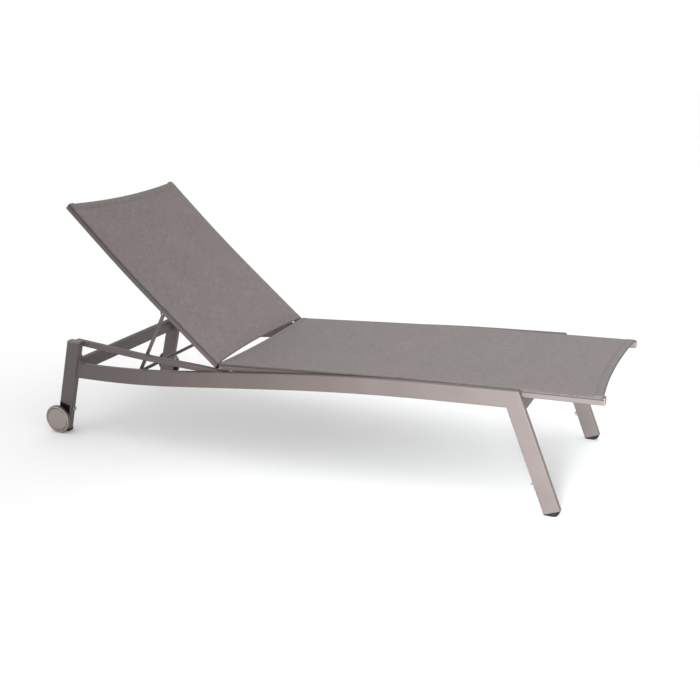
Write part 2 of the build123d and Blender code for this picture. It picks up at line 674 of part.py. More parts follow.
with BuildPart() as seat_rail_cap:
    with BuildSketch(foot_face):
        RectangleRounded(SLING_WIDTH, SLING_DEPTH, SLING_EDGE)
    extrude(amount=RAIL_CAP)
    with BuildSketch(foot_face):
        cap_section(-1)
    extrude(amount=-RAIL_PLUG)
    with BuildSketch(head_face):
        RectangleRounded(SLING_WIDTH, SLING_DEPTH, SLING_EDGE)
    extrude(amount=-RAIL_CAP)
    with BuildSketch(head_face):
        cap_section(-1)
    extrude(amount=RAIL_PLUG - SCREW_RADIUS)
export_group(seat_rail_cap.part, "seat_rail_caps")

with BuildPart() as seat_keder:
    cord_y = SLING_MID + slot_centre
    cord_course = seat_line(cord_y, slot_height, SEAT_HEAD_REACH + RAIL_CAP, SEAT_REACH - RAIL_CAP)
    with BuildSketch(Plane(origin=cord_course.line @ 0, x_dir=across, z_dir=cord_course.line % 0)):
        Circle(KEDER_RADIUS)
    sweep(path=cord_course.line)
export_pair(seat_keder.part, "seat_keder")

# Seat fabric: lies on both rails, hangs slightly between them, with curved hems


def fabric_section(sag):
    """Draws the fabric's section: flat over the rails, in an arc between them."""
    with BuildLine() as edge:
        Polyline((-SLING_INNER, 0), (-SLING_OUTER, 0), (-SLING_OUTER, FABRIC), (-SLING_INNER, FABRIC))
        ThreePointArc((-SLING_INNER, FABRIC), (0, FABRIC - sag), (SLING_INNER, FABRIC))
        Polyline((SLING_INNER, FABRIC), (SLING_OUTER, FABRIC), (SLING_OUTER, 0), (SLING_INNER, 0))
        ThreePointArc((SLING_INNER, 0), (0, -sag), (-SLING_INNER, 0))
    make_face(edge.edges())


def trim_hem(edge, inward, curve):
    """Cuts a curved hem that bows into the fabric from its edge."""
    half = SLING_OUTER + CUT_OVERRUN
    with BuildSketch(Plane(origin=edge, x_dir=across, z_dir=across.cross(inward))) as waste:
        with BuildLine():
            ThreePointArc((-half, 0), (0, curve), (half, 0))
            Polyline((half, 0), (half, -CUT_OVERRUN), (-half, -CUT_OVERRUN), (-half, 0))
        make_face()
    extrude(waste.sketch, amount=SLING_DEPTH, both=True, mode=Mode.SUBTRACT)


fabric_rise = SLING_DEPTH / 2 + BODY_GAP
foot_hem = SEAT_REACH - RAIL_CAP - HEM_INSET
with BuildPart() as seat_sling:
    fabric_line = seat_line(0, fabric_rise, SEAT_HEM_REACH, foot_hem)
    with BuildSketch(Plane(origin=fabric_line.line @ 0, x_dir=across, z_dir=fabric_line.line % 0)):
        fabric_section(SEAT_SAG)
    sweep(path=fabric_line.line)
    trim_hem(seat_point(SEAT_HEM_REACH, fabric_rise), seat_run, SEAT_HEM_CURVE)
    trim_hem(seat_point(foot_hem, fabric_rise), -seat_end_run, FOOT_HEM_CURVE)
export_node(seat_sling.part, "seat_sling")


def back_place(reach, rise):
    """Point of the backrest rail's line, from the hinge along it and square to it."""
    if reach < BACK_BEND_REACH:
        return hinge + back_axis * reach + back_face * rise
    return bend_point + high_axis * (reach - BACK_BEND_REACH) + high_face * rise


def back_line(offset_y, rise, begin, end):
    """Draws the backrest rail's course on a plane, raised square to it, between two reaches."""
    first = back_place(begin, rise)
    middle = bend_point + (back_face + high_face).normalized() * rise
    last = back_place(end, rise)
    with BuildLine(Plane.XZ.offset(offset_y)) as course:
        FilletPolyline(
            (first.X, first.Z),
            (middle.X, middle.Z),
            (last.X, last.Z),
            radius=BACK_BEND_RADIUS,
        )
    return course


# Backrest rail, with a slight bend that supports the neck
rail_end_reach = BACK_LENGTH - RAIL_CAP
low_face = Plane(
    origin=back_place(KNUCKLE_REACH, 0) - across * SLING_MID,
    x_dir=-across,
    z_dir=back_axis,
)
top_face = Plane(
    origin=back_place(rail_end_reach, 0) - across * SLING_MID,
    x_dir=-across,
    z_dir=high_axis,
)
stay_root = hinge + back_axis * STAY_REACH
stay_pivot = stay_root - back_face * STAY_DROP
stay_screw_reach = back_axis * (STAY_BRACKET_HALF - SCREW_INSET)
stay_spots = [(point.X, point.Z) for point in (stay_root - stay_screw_reach, stay_root + stay_screw_reach)]
with BuildPart() as backrest_rail:
    back_course = back_line(SLING_MID, 0, KNUCKLE_REACH, rail_end_reach)
    with BuildSketch(low_face):
        sling_section(1)
    sweep(path=back_course.line)
    side_holes(stay_spots, SCREW_RADIUS + SEAT_FIT, SLING_INNER - CUT_OVERRUN, SLING_INNER + CUT_OVERRUN)
export_pair(backrest_rail.part, "backrest_rail")

with BuildPart() as backrest_rail_cap:
    with BuildSketch(top_face):
        RectangleRounded(SLING_WIDTH, SLING_DEPTH, SLING_EDGE)
    extrude(amount=RAIL_CAP)
    with BuildSketch(top_face):
        cap_section(1)
    extrude(amount=-RAIL_PLUG)
export_group(backrest_rail_cap.part, "backrest_rail_caps")

with BuildPart() as backrest_keder:
    back_cord = back_line(SLING_MID + slot_centre, slot_height, KNUCKLE_REACH, rail_end_reach)
    with BuildSketch(Plane(origin=back_cord.line @ 0, x_dir=-across, z_dir=back_cord.line % 0)):
        Circle(KEDER_RADIUS)
    sweep(path=back_cord.line)
export_pair(backrest_keder.part, "backrest_keder")

# Backrest fabric
top_hem = rail_end_reach - HEM_INSET / 2
with BuildPart() as backrest_sling:
    cloth_course = back_line(0, fabric_rise, BACK_HEM_START, top_hem)
    with BuildSketch(Plane(origin=cloth_course.line @ 0, x_dir=-across, z_dir=cloth_course.line % 0)):
        fabric_section(BACK_SAG)
    sweep(path=cloth_course.line)
    trim_hem(back_place(BACK_HEM_START, fabric_rise), back_axis, LOWER_HEM_CURVE)
    trim_hem(back_place(top_hem, fabric_rise), -high_axis, TOP_HEM_CURVE)
export_node(backrest_sling.part, "backrest_sling")


def spreader(centre):
    """Draws and extrudes a round tube between two sling rails."""
    with BuildSketch(Plane(origin=centre - across * SLING_INNER, x_dir=(1, 0, 0), z_dir=across)) as ring:
        Circle(SPREADER_RADIUS)
        Circle(SPREADER_RADIUS - SPREADER_WALL, mode=Mode.SUBTRACT)
    extrude(ring.sketch, amount=2 * SLING_INNER)


with BuildPart() as seat_spreader:
    spreader(seat_point(SEAT_SPREADER_REACH, -SPREADER_DROP))
export_node(seat_spreader.part, "seat_spreader")

with BuildPart() as backrest_top_spreader:
    spreader(back_place(BACK_LENGTH - TOP_SPREADER_INSET, -SPREADER_DROP))
export_node(backrest_top_spreader.part, "backrest_top_spreader")

with BuildPart() as backrest_lower_spreader:
    spreader(back_place(LOW_SPREADER_REACH, -SPREADER_DROP))
export_node(backrest_lower_spreader.part, "backrest_lower_spreader")

# Hinge knuckle: an eye on a plug in the backrest rail's lower end
with BuildPart() as hinge_knuckle:
    with BuildSketch(Plane.XZ.offset(SLING_INNER + KNUCKLE_SIDE)):
        with Locations((HINGE_X, HINGE_Z)):
            Circle(KNUCKLE_RADIUS)
        block = hinge + back_axis * (KNUCKLE_REACH - KNUCKLE_LIP / 2)
        with Locations(Location((block.X, block.Z), -BACK_ANGLE)):
            Rectangle(KNUCKLE_LIP, SLING_DEPTH - 2 * SLING_EDGE)
        make_hull()
    extrude(amount=SLING_WIDTH - 2 * KNUCKLE_SIDE)
    split(bisect_by=low_face, keep=Keep.BOTTOM)
    with BuildSketch(low_face):
        cap_section(1)
    extrude(amount=RAIL_PLUG)
    blind_end = SLING_OUTER - HINGE_PIN_INSET
    side_holes([(HINGE_X, HINGE_Z)], HINGE_PIN_RADIUS + RUNNING_FIT, SLING_INNER - CUT_OVERRUN, blind_end)
export_pair(hinge_knuckle.part, "hinge_knuckle")

# Hinge bracket on the seat rail's inner face, and its pin
plate_y = SLING_INNER - PLATE_THICK
plate_cut = plate_y - CUT_OVERRUN
plate_tail = seat_point(PLATE_END - PLATE_RADIUS, 0)
with BuildPart() as hinge_bracket:
    with BuildSketch(Plane.XZ.offset(plate_y)):
        with Locations((HINGE_X, HINGE_Z), (plate_tail.X, plate_tail.Z)):
            Circle(PLATE_RADIUS)
        make_hull()
    extrude(amount=PLATE_THICK)
    side_holes([(HINGE_X, HINGE_Z)], HINGE_PIN_RADIUS + SEAT_FIT, plate_cut, SLING_INNER + CUT_OVERRUN)
    side_holes(plate_spots, SCREW_RADIUS + SEAT_FIT, plate_cut, SLING_INNER + CUT_OVERRUN)
export_pair(hinge_bracket.part, "hinge_bracket")

with BuildPart() as hinge_pin:
    with BuildSketch(Plane.XZ.offset(plate_y - PIN_HEAD)):
        with Locations((HINGE_X, HINGE_Z)):
            Circle(PIN_HEAD_RADIUS)
    extrude(amount=PIN_HEAD)
    with BuildSketch(Plane.XZ.offset(plate_y)):
        with Locations((HINGE_X, HINGE_Z)):
            Circle(HINGE_PIN_RADIUS)
    extrude(amount=PLATE_THICK + SLING_WIDTH - HINGE_PIN_INSET - BODY_GAP)
export_pair(hinge_pin.part, "hinge_pin")

# Stay brackets on the backrest rails' inner faces
with BuildPart() as stay_bracket:
    with BuildSketch(Plane.XZ.offset(plate_y)):
        with Locations((stay_pivot.X, stay_pivot.Z)):
            Circle(STAY_EYE_RADIUS)
        with Locations(Location((stay_root.X, stay_root.Z), -BACK_ANGLE)):
            Rectangle(2 * STAY_BRACKET_HALF, SLING_DEPTH - 2 * SLING_WALL)
        make_hull()
    extrude(amount=PLATE_THICK)
    side_holes([(stay_pivot.X, stay_pivot.Z)], PIN_RADIUS + SEAT_FIT, plate_cut, SLING_INNER + CUT_OVERRUN)
    side_holes(stay_spots, SCREW_RADIUS + SEAT_FIT, plate_cut, SLING_INNER + CUT_OVERRUN)
export_pair(stay_bracket.part, "stay_bracket")

arm_outer = plate_y - STAY_SIDE
arm_inner = arm_outer - STAY_ARM_THICK
with BuildPart() as stay_pin:
    with BuildSketch(Plane.XZ.offset(arm_inner - STAY_SIDE - PIN_HEAD)):
        with Locations((stay_pivot.X, stay_pivot.Z)):
            Circle(PIN_HEAD_RADIUS)
    extrude(amount=PIN_HEAD)
    with BuildSketch(Plane.XZ.offset(arm_inner - STAY_SIDE)):
        with Locations((stay_pivot.X, stay_pivot.Z)):
            Circle(PIN_RADIUS)
    extrude(amount=SLING_INNER - arm_inner + STAY_SIDE)
export_pair(stay_pin.part, "stay_pin")


def rod_place(angle):
    """Where the stay's cross rod lies on the racks when the backrest is at an angle."""
    pivot = back_point(angle, STAY_REACH, -STAY_DROP)
    return Vector(pivot.X - sqrt(STAY_LENGTH**2 - (pivot.Z - RACK_ROD_Z) ** 2), 0, RACK_ROD_Z)


rod = rod_place(BACK_ANGLE)
with BuildPart() as stay_arm:
    with BuildSketch(Plane.XZ.offset(arm_inner)):
        with Locations((stay_pivot.X, stay_pivot.Z), (rod.X, rod.Z)):
            Circle(STAY_ARM_WIDTH / 2)
        make_hull()
        with Locations((stay_pivot.X, stay_pivot.Z), (rod.X, rod.Z)):
            Circle(STAY_EYE_RADIUS)
    extrude(amount=STAY_ARM_THICK)
    arm_cuts = (arm_inner - CUT_OVERRUN, arm_outer + CUT_OVERRUN)
    side_holes([(stay_pivot.X, stay_pivot.Z)], PIN_RADIUS + RUNNING_FIT, *arm_cuts)
    side_holes([(rod.X, rod.Z)], ROD_RADIUS + SEAT_FIT, *arm_cuts)
export_pair(stay_arm.part, "stay_arm")

rod_half = INNER_FACE - RACK_THICK - ROD_SIDE
with BuildPart() as stay_cross_rod:
    with BuildSketch(Plane(origin=rod - across * rod_half, x_dir=(1, 0, 0), z_dir=across)):
        Circle(ROD_RADIUS)
    extrude(amount=2 * rod_half)
export_node(stay_cross_rod.part, "stay_cross_rod")

# Ratchet rack on the side rail's inner face, with a notch for each backrest angle
notches = [rod_place(angle) for angle in RACK_ANGLES]
rack_front = notches[0].X + RACK_FRONT
rack_rear = notches[-1].X - RACK_REAR
rack_top = RACK_ROD_Z + RACK_TOOTH
rack_low = RACK_ROD_Z - ROD_RADIUS - RACK_BELLY
rack_screw_z = RACK_ROD_Z - SCREW_INSET
rack_spots = [(rack_front - SCREW_INSET, rack_screw_z), (rack_rear + SCREW_INSET, rack_screw_z)]
with BuildPart() as ratchet_rack:
    with BuildSketch(Plane.XZ.offset(INNER_FACE - RACK_THICK)):
        with Locations(((rack_front + rack_rear) / 2, (rack_top + rack_low) / 2)):
            RectangleRounded(rack_front - rack_rear, rack_top - rack_low, RACK_EDGE)
        with Locations(*[(notch.X, notch.Z) for notch in notches]):
            Circle(ROD_RADIUS + TOOTH_PLAY, mode=Mode.SUBTRACT)
        with Locations(*[(notch.X, notch.Z + RACK_TOOTH) for notch in notches]):
            Rectangle(2 * ROD_RADIUS + 2 * TOOTH_PLAY, 2 * RACK_TOOTH, mode=Mode.SUBTRACT)
    extrude(amount=RACK_THICK)
    rack_cut = INNER_FACE - RACK_THICK - CUT_OVERRUN
    side_holes(rack_spots, SCREW_RADIUS + SEAT_FIT, rack_cut, INNER_FACE + CUT_OVERRUN)
export_pair(ratchet_rack.part, "ratchet_rack")


def side_screws(spots, face, length, radius, head_radius, head):
    """Makes screws across the right side, with heads towards the middle."""
    with BuildSketch(Plane.XZ.offset(face - head)) as heads:
        with Locations(*spots):
            Circle(head_radius)
    extrude(heads.sketch, amount=head)
    with BuildSketch(Plane.XZ.offset(face)) as shanks:
        with Locations(*spots):
            Circle(radius)
    extrude(shanks.sketch, amount=length)


with BuildPart() as rack_screw:
    rack_side = INNER_FACE - RACK_THICK
    side_screws(rack_spots, rack_side, RACK_THICK, SCREW_RADIUS, SCREW_HEAD_RADIUS, SCREW_HEAD)
export_group(rack_screw.part, "rack_screws")

screw_length = PLATE_THICK + SLING_WALL
with BuildPart() as bracket_screw:
    side_screws(plate_spots, plate_y, screw_length, SCREW_RADIUS, SCREW_HEAD_RADIUS, SCREW_HEAD)
export_group(bracket_screw.part, "hinge_bracket_screws")

with BuildPart() as stay_screw:
    side_screws(stay_spots, plate_y, screw_length, SCREW_RADIUS, SCREW_HEAD_RADIUS, SCREW_HEAD)
export_group(stay_screw.part, "stay_bracket_screws")

# Bolts and spacers that hold the seat rails to the side rails
with BuildPart() as seat_bolt:
    bolt_length = SLING_WIDTH + SIDE_GAP + TUBE_WALL
    side_screws(bolt_spots, SLING_INNER, bolt_length, BOLT_RADIUS, BOLT_HEAD_RADIUS, BOLT_HEAD)
export_group(seat_bolt.part, "seat_bolts")

with BuildPart() as seat_spacer:
    with BuildSketch(Plane.XZ.offset(SLING_OUTER)):
        with Locations(*bolt_spots):
            Circle(SPACER_RADIUS)
            Circle(BOLT_RADIUS + SEAT_FIT, mode=Mode.SUBTRACT)
    extrude(amount=SIDE_GAP)
export_group(seat_spacer.part, "seat_spacers")

# Pads on the legs' inner edges, on which a second lounge stacks
front_pad = corner - front_up * ((CORNER_Z - BUMPER_Z) / front_up.Z) - front_front * (LEG_DEPTH / 2)
rear_pad = Vector(rear_leg_x(BUMPER_Z), 0, BUMPER_Z) + rear_front * (REAR_LEG_DEPTH / 2)
with BuildPart() as stacking_bumper:
    with BuildSketch(Plane(origin=front_pad - across * RAIL_MID, x_dir=across, z_dir=-front_front)):
        Circle(BUMPER_RADIUS)
    extrude(amount=BUMPER_PROUD)
    with BuildSketch(Plane(origin=rear_pad - across * LEG_MID, x_dir=across, z_dir=rear_front)):
        Circle(BUMPER_RADIUS)
    extrude(amount=BUMPER_PROUD)
    fillet(stacking_bumper.faces().sort_by(Axis.X)[0].edges(), BUMPER_DOME)
export_group(stacking_bumper.part, "stacking_bumpers")

print("hinge", hinge, "stay pivot", stay_pivot, "rod", rod, "wheel", WHEEL_X, WHEEL_Z)
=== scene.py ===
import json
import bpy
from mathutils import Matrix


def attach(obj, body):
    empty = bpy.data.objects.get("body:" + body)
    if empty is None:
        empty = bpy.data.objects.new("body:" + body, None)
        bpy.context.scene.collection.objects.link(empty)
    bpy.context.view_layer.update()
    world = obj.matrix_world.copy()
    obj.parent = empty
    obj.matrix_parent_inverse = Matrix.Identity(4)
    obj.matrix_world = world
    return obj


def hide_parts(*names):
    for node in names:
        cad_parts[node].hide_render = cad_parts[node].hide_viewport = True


bl_info = {
    "name": "Sling Chaise Lounge",
    "version": (1, 0, 0),
    "blender": (4, 5, 0),
    "location": "3D View > Sidebar > Lounge",
    "description": "Dresses the frame of a sling chaise lounge with fabric, finishes and a studio",
    "category": "Object",
}

from math import cos, pi, radians, sin, sqrt, tan

import bmesh
import bpy
from bpy.props import FloatProperty, FloatVectorProperty, PointerProperty, StringProperty
from mathutils import Matrix, Vector

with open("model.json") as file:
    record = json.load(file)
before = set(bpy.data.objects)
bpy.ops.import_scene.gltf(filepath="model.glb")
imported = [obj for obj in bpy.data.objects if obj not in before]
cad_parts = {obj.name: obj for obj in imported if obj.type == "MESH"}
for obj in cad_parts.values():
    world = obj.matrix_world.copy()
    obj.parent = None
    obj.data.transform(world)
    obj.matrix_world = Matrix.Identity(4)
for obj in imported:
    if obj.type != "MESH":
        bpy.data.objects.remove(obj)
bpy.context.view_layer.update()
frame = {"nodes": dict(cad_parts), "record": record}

# Where the frame's own pieces are, in metres
HINGE = Vector((-0.273, 0.0, 0.3095))
BACK_LOW = radians(40.5)
BACK_HIGH = radians(43.8)
BACK_BEND = 0.43
BACK_RADIUS = 5.5
SEAT_CROWN = Vector((0.331, 0.0, 0.3434))
SEAT_FOOT = Vector((0.961, 0.0, 0.3605))
SEAT_RADIUS = 14.0
RAIL_OUTER = 0.303
RAIL_INNER = 0.279
RAIL_HALF = 0.011
RAIL_EDGE = 0.0025
SLOT_HEIGHT = 0.0055
SLOT_DEPTH = 0.0035
WHEEL = Vector((-0.911, 0.0, 0.0508))
WHEEL_RADIUS = 0.05
WHEEL_OUTER = 0.358
WHEEL_BACK = 0.343
WHEEL_FACETS = 96

# The finishes of the frame's slings and wheel covers, which pieces of this file replace
REPLACED = ("sling_fabric", "cover_plastic")

# The slings: where each starts and ends along its rails, how far both hems curve in, and its rows of faces
SEAT_RUN = (0.0068, 1.2286)
SEAT_CURVES = (0.004, 0.0145)
SEAT_ROWS = 150
BACK_RUN = (0.0065, 0.7335)
BACK_CURVES = (0.011, 0.011)
BACK_ROWS = 90

# How the cloth lies on the rails
CLOTH_GAP = 0.0002
SLOT_RISES = (0.0005, 0.0007, 0.0014)
SLOT_MOUTH = 0.0001
ARC_STEPS = 4
REST_MARKS = (0.012, 0.002)
CLOTH_STEPS = 22
SHADE_ROLL_STEPS = 44
STITCH_STEPS = 60
RIPPLE_HEIGHT = 0.0005
RIPPLE_RATE = 23.0
RIPPLE_SLANT = 3.0

# Hems, a dark roll along one hem's edge that is painted shade, and their seams
HEM_INSET = 0.0015
HEM_DIP = 0.002
HEM_FACETS = 20
HEM_FLATNESS = 0.35
SHADE_ROLL_INSET = 0.004
SHADE_ROLL_FACETS = 8
SHADE_ROLL_MIDDLE = 0.0012
SHADE_ROLL_HALF = 0.0022
SHADE_ROLL_PROUD = 0.0003
SEAM_INSET = 0.006
SEAM_ROWS = (0.019, 0.023)
STITCH_PITCH = 1.25
STITCH_HALF_WIDTH = 0.0005
STITCH_HALF_HEIGHT = 0.0004
STITCH_LIFT = 0.0001
STEP = 0.001
WELD = 0.00001

# The part of its range that a noise texture fills, what a wave texture multiplies its place by, and the settings
# of a node that multiplies two colours
NOISE_LOW = 0.3
NOISE_HIGH = 0.7
WAVE_RATE = 20.0
MULTIPLY = {"data_type": "RGBA", "blend_type": "MULTIPLY"}

# The studio
WORLD_STRENGTH = 1.03
FLOOR_WHITE = 0.97
FLOOR_HALF = 30.0
SENSOR = 36.0
SIGHT = 60.0
KEY = {
    "size": 1.0,
    "spread": 65,
    "spot": (1.3, -2.9, 0.5),
    "aim": (0.9, 0.1, 0.2),
    "tint": (0.93, 0.985, 1.0),
}
TOP = {
    "size": 2.5,
    "spread": 180,
    "spot": (0.9, -0.3, 3.0),
    "aim": (0.5, 0.0, 0.2),
    "tint": (1.0, 1.0, 1.0),
}


class LoungeFabric(bpy.types.PropertyGroup):
    """Sizes and colours of the two slings."""

    thread_pitch: FloatProperty(
        name="Thread pitch", description="Distance between the threads of the weave", default=0.0013, unit="LENGTH"
    )
    thickness: FloatProperty(name="Thickness", description="Thickness of the cloth", default=0.0009, unit="LENGTH")
    seat_sag: FloatProperty(
        name="Seat sag", description="How far the seat hangs at its middle", default=0.005, unit="LENGTH"
    )
    back_sag: FloatProperty(
        name="Backrest sag", description="How far the backrest hangs at its middle", default=0.004, unit="LENGTH"
    )
    hem_width: FloatProperty(name="Hem", description="Width of the sewn hems", default=0.026, unit="LENGTH")
    hem_rise: FloatProperty(
        name="Hem height", description="Thickness of the sewn hems", default=0.0032, unit="LENGTH"
    )
    stitch: FloatProperty(name="Stitch", description="Length of one stitch", default=0.0045, unit="LENGTH")
    yarn: StringProperty(name="Yarn", description="Main colour of the yarn, as sRGB hex", default="#6D6260")
    fleck: StringProperty(name="Fleck", description="Lighter flecks in the yarn, as sRGB hex", default="#7E7472")
    shade: StringProperty(name="Shade", description="Darker threads, as sRGB hex", default="#5A514F")
    thread: StringProperty(name="Thread", description="Seam thread's low tone, as sRGB hex", default="#6E6562")
    thread_high: StringProperty(
        name="Thread light", description="Seam thread's high tone, as sRGB hex", default="#827875"
    )
    # Tones of the dark roll along one hem's edge: painted shade where that edge falls in shadow
    painted_shade_roll: StringProperty(name="Edging", description="Edging thread's low tone, as sRGB hex", default="#45403E")
    painted_shade_roll_high: StringProperty(
        name="Edging light", description="Edging thread's high tone, as sRGB hex", default="#575150"
    )


class LoungeFinish(bpy.types.PropertyGroup):
    """Colours of the frame's finishes."""

    coat: StringProperty(name="Powder coat", description="Colour of the frame, as sRGB hex", default="#59504E")
    moulded: StringProperty(name="Moulded", description="Colour of the caps, as sRGB hex", default="#6E6662")
    disc: StringProperty(name="Discs", description="Colour of the wheel covers, as sRGB hex", default="#9B918D")
    pads: StringProperty(name="Pads", description="Colour of the stacking pads, as sRGB hex", default="#857D7A")
    black: StringProperty(name="Black", description="Colour of the black plastic, as sRGB hex", default="#161515")
    rubber: StringProperty(name="Rubber", description="Colour of the wheel bodies, as sRGB hex", default="#1A1918")
    cord: StringProperty(name="Edge cords", description="Colour of the edge cords, as sRGB hex", default="#4A4442")
    steel: StringProperty(name="Steel", description="Steel's low tone, as sRGB hex", default="#A9A8A5")
    steel_high: StringProperty(name="Steel light", description="Steel's high tone, as sRGB hex", default="#C4C3C0")
    grain: FloatProperty(
        name="Coat grain", description="Size of the powder coat's grain", default=0.0011, unit="LENGTH"
    )


class LoungeStudio(bpy.types.PropertyGroup):
    """The camera and the lights."""

    eye: FloatVectorProperty(
        name="Camera",
        description="Where the camera stands",
        default=(1.33594, -2.88640, 1.29348),
        subtype="XYZ",
        unit="LENGTH",
    )
    yaw: FloatProperty(name="Yaw", description="Turn from +Y towards -X", default=0.41505, subtype="ANGLE")
    pitch: FloatProperty(name="Pitch", description="Downward tilt", default=0.29948, subtype="ANGLE")
    roll: FloatProperty(name="Roll", description="Turn about the view", default=-0.0078, subtype="ANGLE")
    lens: FloatProperty(name="Lens", description="Focal length in millimetres", default=50.2025, unit="CAMERA")
    key: FloatProperty(name="Key light", description="Strength of the key light", default=37.0, unit="POWER")
    fill: FloatProperty(name="Top light", description="Strength of the top light", default=6.0, unit="POWER")


def settings():
    scene = bpy.context.scene
    return scene.lounge_fabric, scene.lounge_finish, scene.lounge_studio


def linear(code):
    """Turns an sRGB hex colour into linear RGBA."""
    values = [int(code[i : i + 2], 16) / 255 for i in (1, 3, 5)]
    return [v / 12.92 if v <= 0.04045 else ((v + 0.055) / 1.055) ** 2.4 for v in values] + [1.0]


def toned(colour, factor):
    """A linear colour made lighter or darker."""
    return [min(1.0, c * factor) for c in colour[:3]] + [1.0]


def add_node(tree, kind, fields=None, inputs=None, stops=None):
    """Adds a node with its fields, its values and links, and a colour ramp's stops."""
    made = tree.nodes.new(kind)
    for name, value in (fields or {}).items():
        setattr(made, name, value)
    for name, value in (inputs or {}).items():
        if isinstance(value, bpy.types.NodeSocket):
            tree.links.new(value, made.inputs[name])
        else:
            made.inputs[name].default_value = value
    if stops:
        elements = made.color_ramp.elements
        elements[0].position, elements[0].color = stops[0]
        elements[1].position, elements[1].color = stops[-1]
        for position, colour in stops[1:-1]:
            elements.new(position).color = colour
    return made


def new_material(name):
    material = bpy.data.materials.new(name)
    material.use_nodes = True
    material.node_tree.nodes.clear()
    return material, material.node_tree


def powder_coat(code, grain_size, roughness, gloss):
    """Powder-coated aluminium, baked: a satin skin with a faint orange-peel grain and a slight drift of tone."""
    material, tree = new_material("powder_coated_aluminium")
    place = add_node(tree, "ShaderNodeTexCoord").outputs["Object"]
    # Tone drifts in patches of about 170 mm. The orange peel's real grain of about 0.5 mm is drawn as coarse as
    # grain_size, in metres, so that it shows
    drift = add_node(
        tree, "ShaderNodeTexNoise", inputs={"Vector": place, "Scale": 6.0, "Detail": 3.0, "Roughness": 0.55}
    ).outputs["Fac"]
    grain = add_node(
        tree, "ShaderNodeTexNoise", inputs={"Vector": place, "Scale": 1 / grain_size, "Detail": 2.0}
    ).outputs["Fac"]
    base = linear(code)
    tone = add_node(
        tree,
        "ShaderNodeValToRGB",
        inputs={"Fac": drift},
        stops=[(NOISE_LOW, toned(base, 0.94)), (0.5, base), (0.72, toned(base, 1.06))],
    ).outputs["Color"]
    speck = add_node(
        tree,
        "ShaderNodeValToRGB",
        inputs={"Fac": grain},
        stops=[(0.35, (0.9, 0.9, 0.9, 1)), (0.62, (1.05, 1.05, 1.05, 1))],
    ).outputs["Color"]
    colour = add_node(tree, "ShaderNodeMix", MULTIPLY, {0: 1.0, 6: tone, 7: speck}).outputs[2]
    rough = add_node(
        tree,
        "ShaderNodeMapRange",
        inputs={
            "Value": drift,
            "From Min": NOISE_LOW,
            "From Max": NOISE_HIGH,
            "To Min": roughness - 0.03,
            "To Max": roughness + 0.04,
        },
    ).outputs["Result"]
    bump = add_node(tree, "ShaderNodeBump", inputs={"Height": grain, "Strength": 0.12, "Distance": 0.0002})
    shader = add_node(
        tree,
        "ShaderNodeBsdfPrincipled",
        inputs={
            "Base Color": colour,
            "Roughness": rough,
            "Specular IOR Level": gloss,
            "Normal": bump.outputs["Normal"],
        },
    )
    add_node(tree, "ShaderNodeOutputMaterial", inputs={"Surface": shader.outputs["BSDF"]})
    return material


def moulded_plastic(name, code, roughness, grain_mm, strength, gloss=0.4):
    """Injection-moulded or extruded plastic: a fine spark-eroded grain, slightly glossy on its high points."""
    material, tree = new_material(name)
    place = add_node(tree, "ShaderNodeTexCoord").outputs["Object"]
    # The mould's real grain of about 0.1 mm is drawn as coarse as grain_mm so that it shows, and tone drifts in
    # patches of about 40 mm
    grain = add_node(
        tree, "ShaderNodeTexNoise", inputs={"Vector": place, "Scale": 1000 / grain_mm, "Detail": 3.0}
    ).outputs["Fac"]
    drift = add_node(tree, "ShaderNodeTexNoise", inputs={"Vector": place, "Scale": 25.0, "Detail": 2.0})
    base = linear(code)
    tone = add_node(
        tree,
        "ShaderNodeValToRGB",
        inputs={"Fac": drift.outputs["Fac"]},
        stops=[(NOISE_LOW, toned(base, 0.88)), (NOISE_HIGH, toned(base, 1.12))],
    )
    rough = add_node(
        tree,
        "ShaderNodeMapRange",
        inputs={
            "Value": grain,
            "From Min": NOISE_LOW,
            "From Max": NOISE_HIGH,
            "To Min": roughness + 0.06,
            "To Max": roughness - 0.06,
        },
    )
    bump = add_node(tree, "ShaderNodeBump", inputs={"Height": grain, "Strength": strength, "Distance": 0.0002})
    shader = add_node(
        tree,
        "ShaderNodeBsdfPrincipled",
        inputs={
            "Base Color": tone.outputs["Color"],
            "Roughness": rough.outputs["Result"],
            "IOR": 1.49,
            "Specular IOR Level": gloss,
            "Normal": bump.outputs["Normal"],
        },
    )
    add_node(tree, "ShaderNodeOutputMaterial", inputs={"Surface": shader.outputs["BSDF"]})
    return material


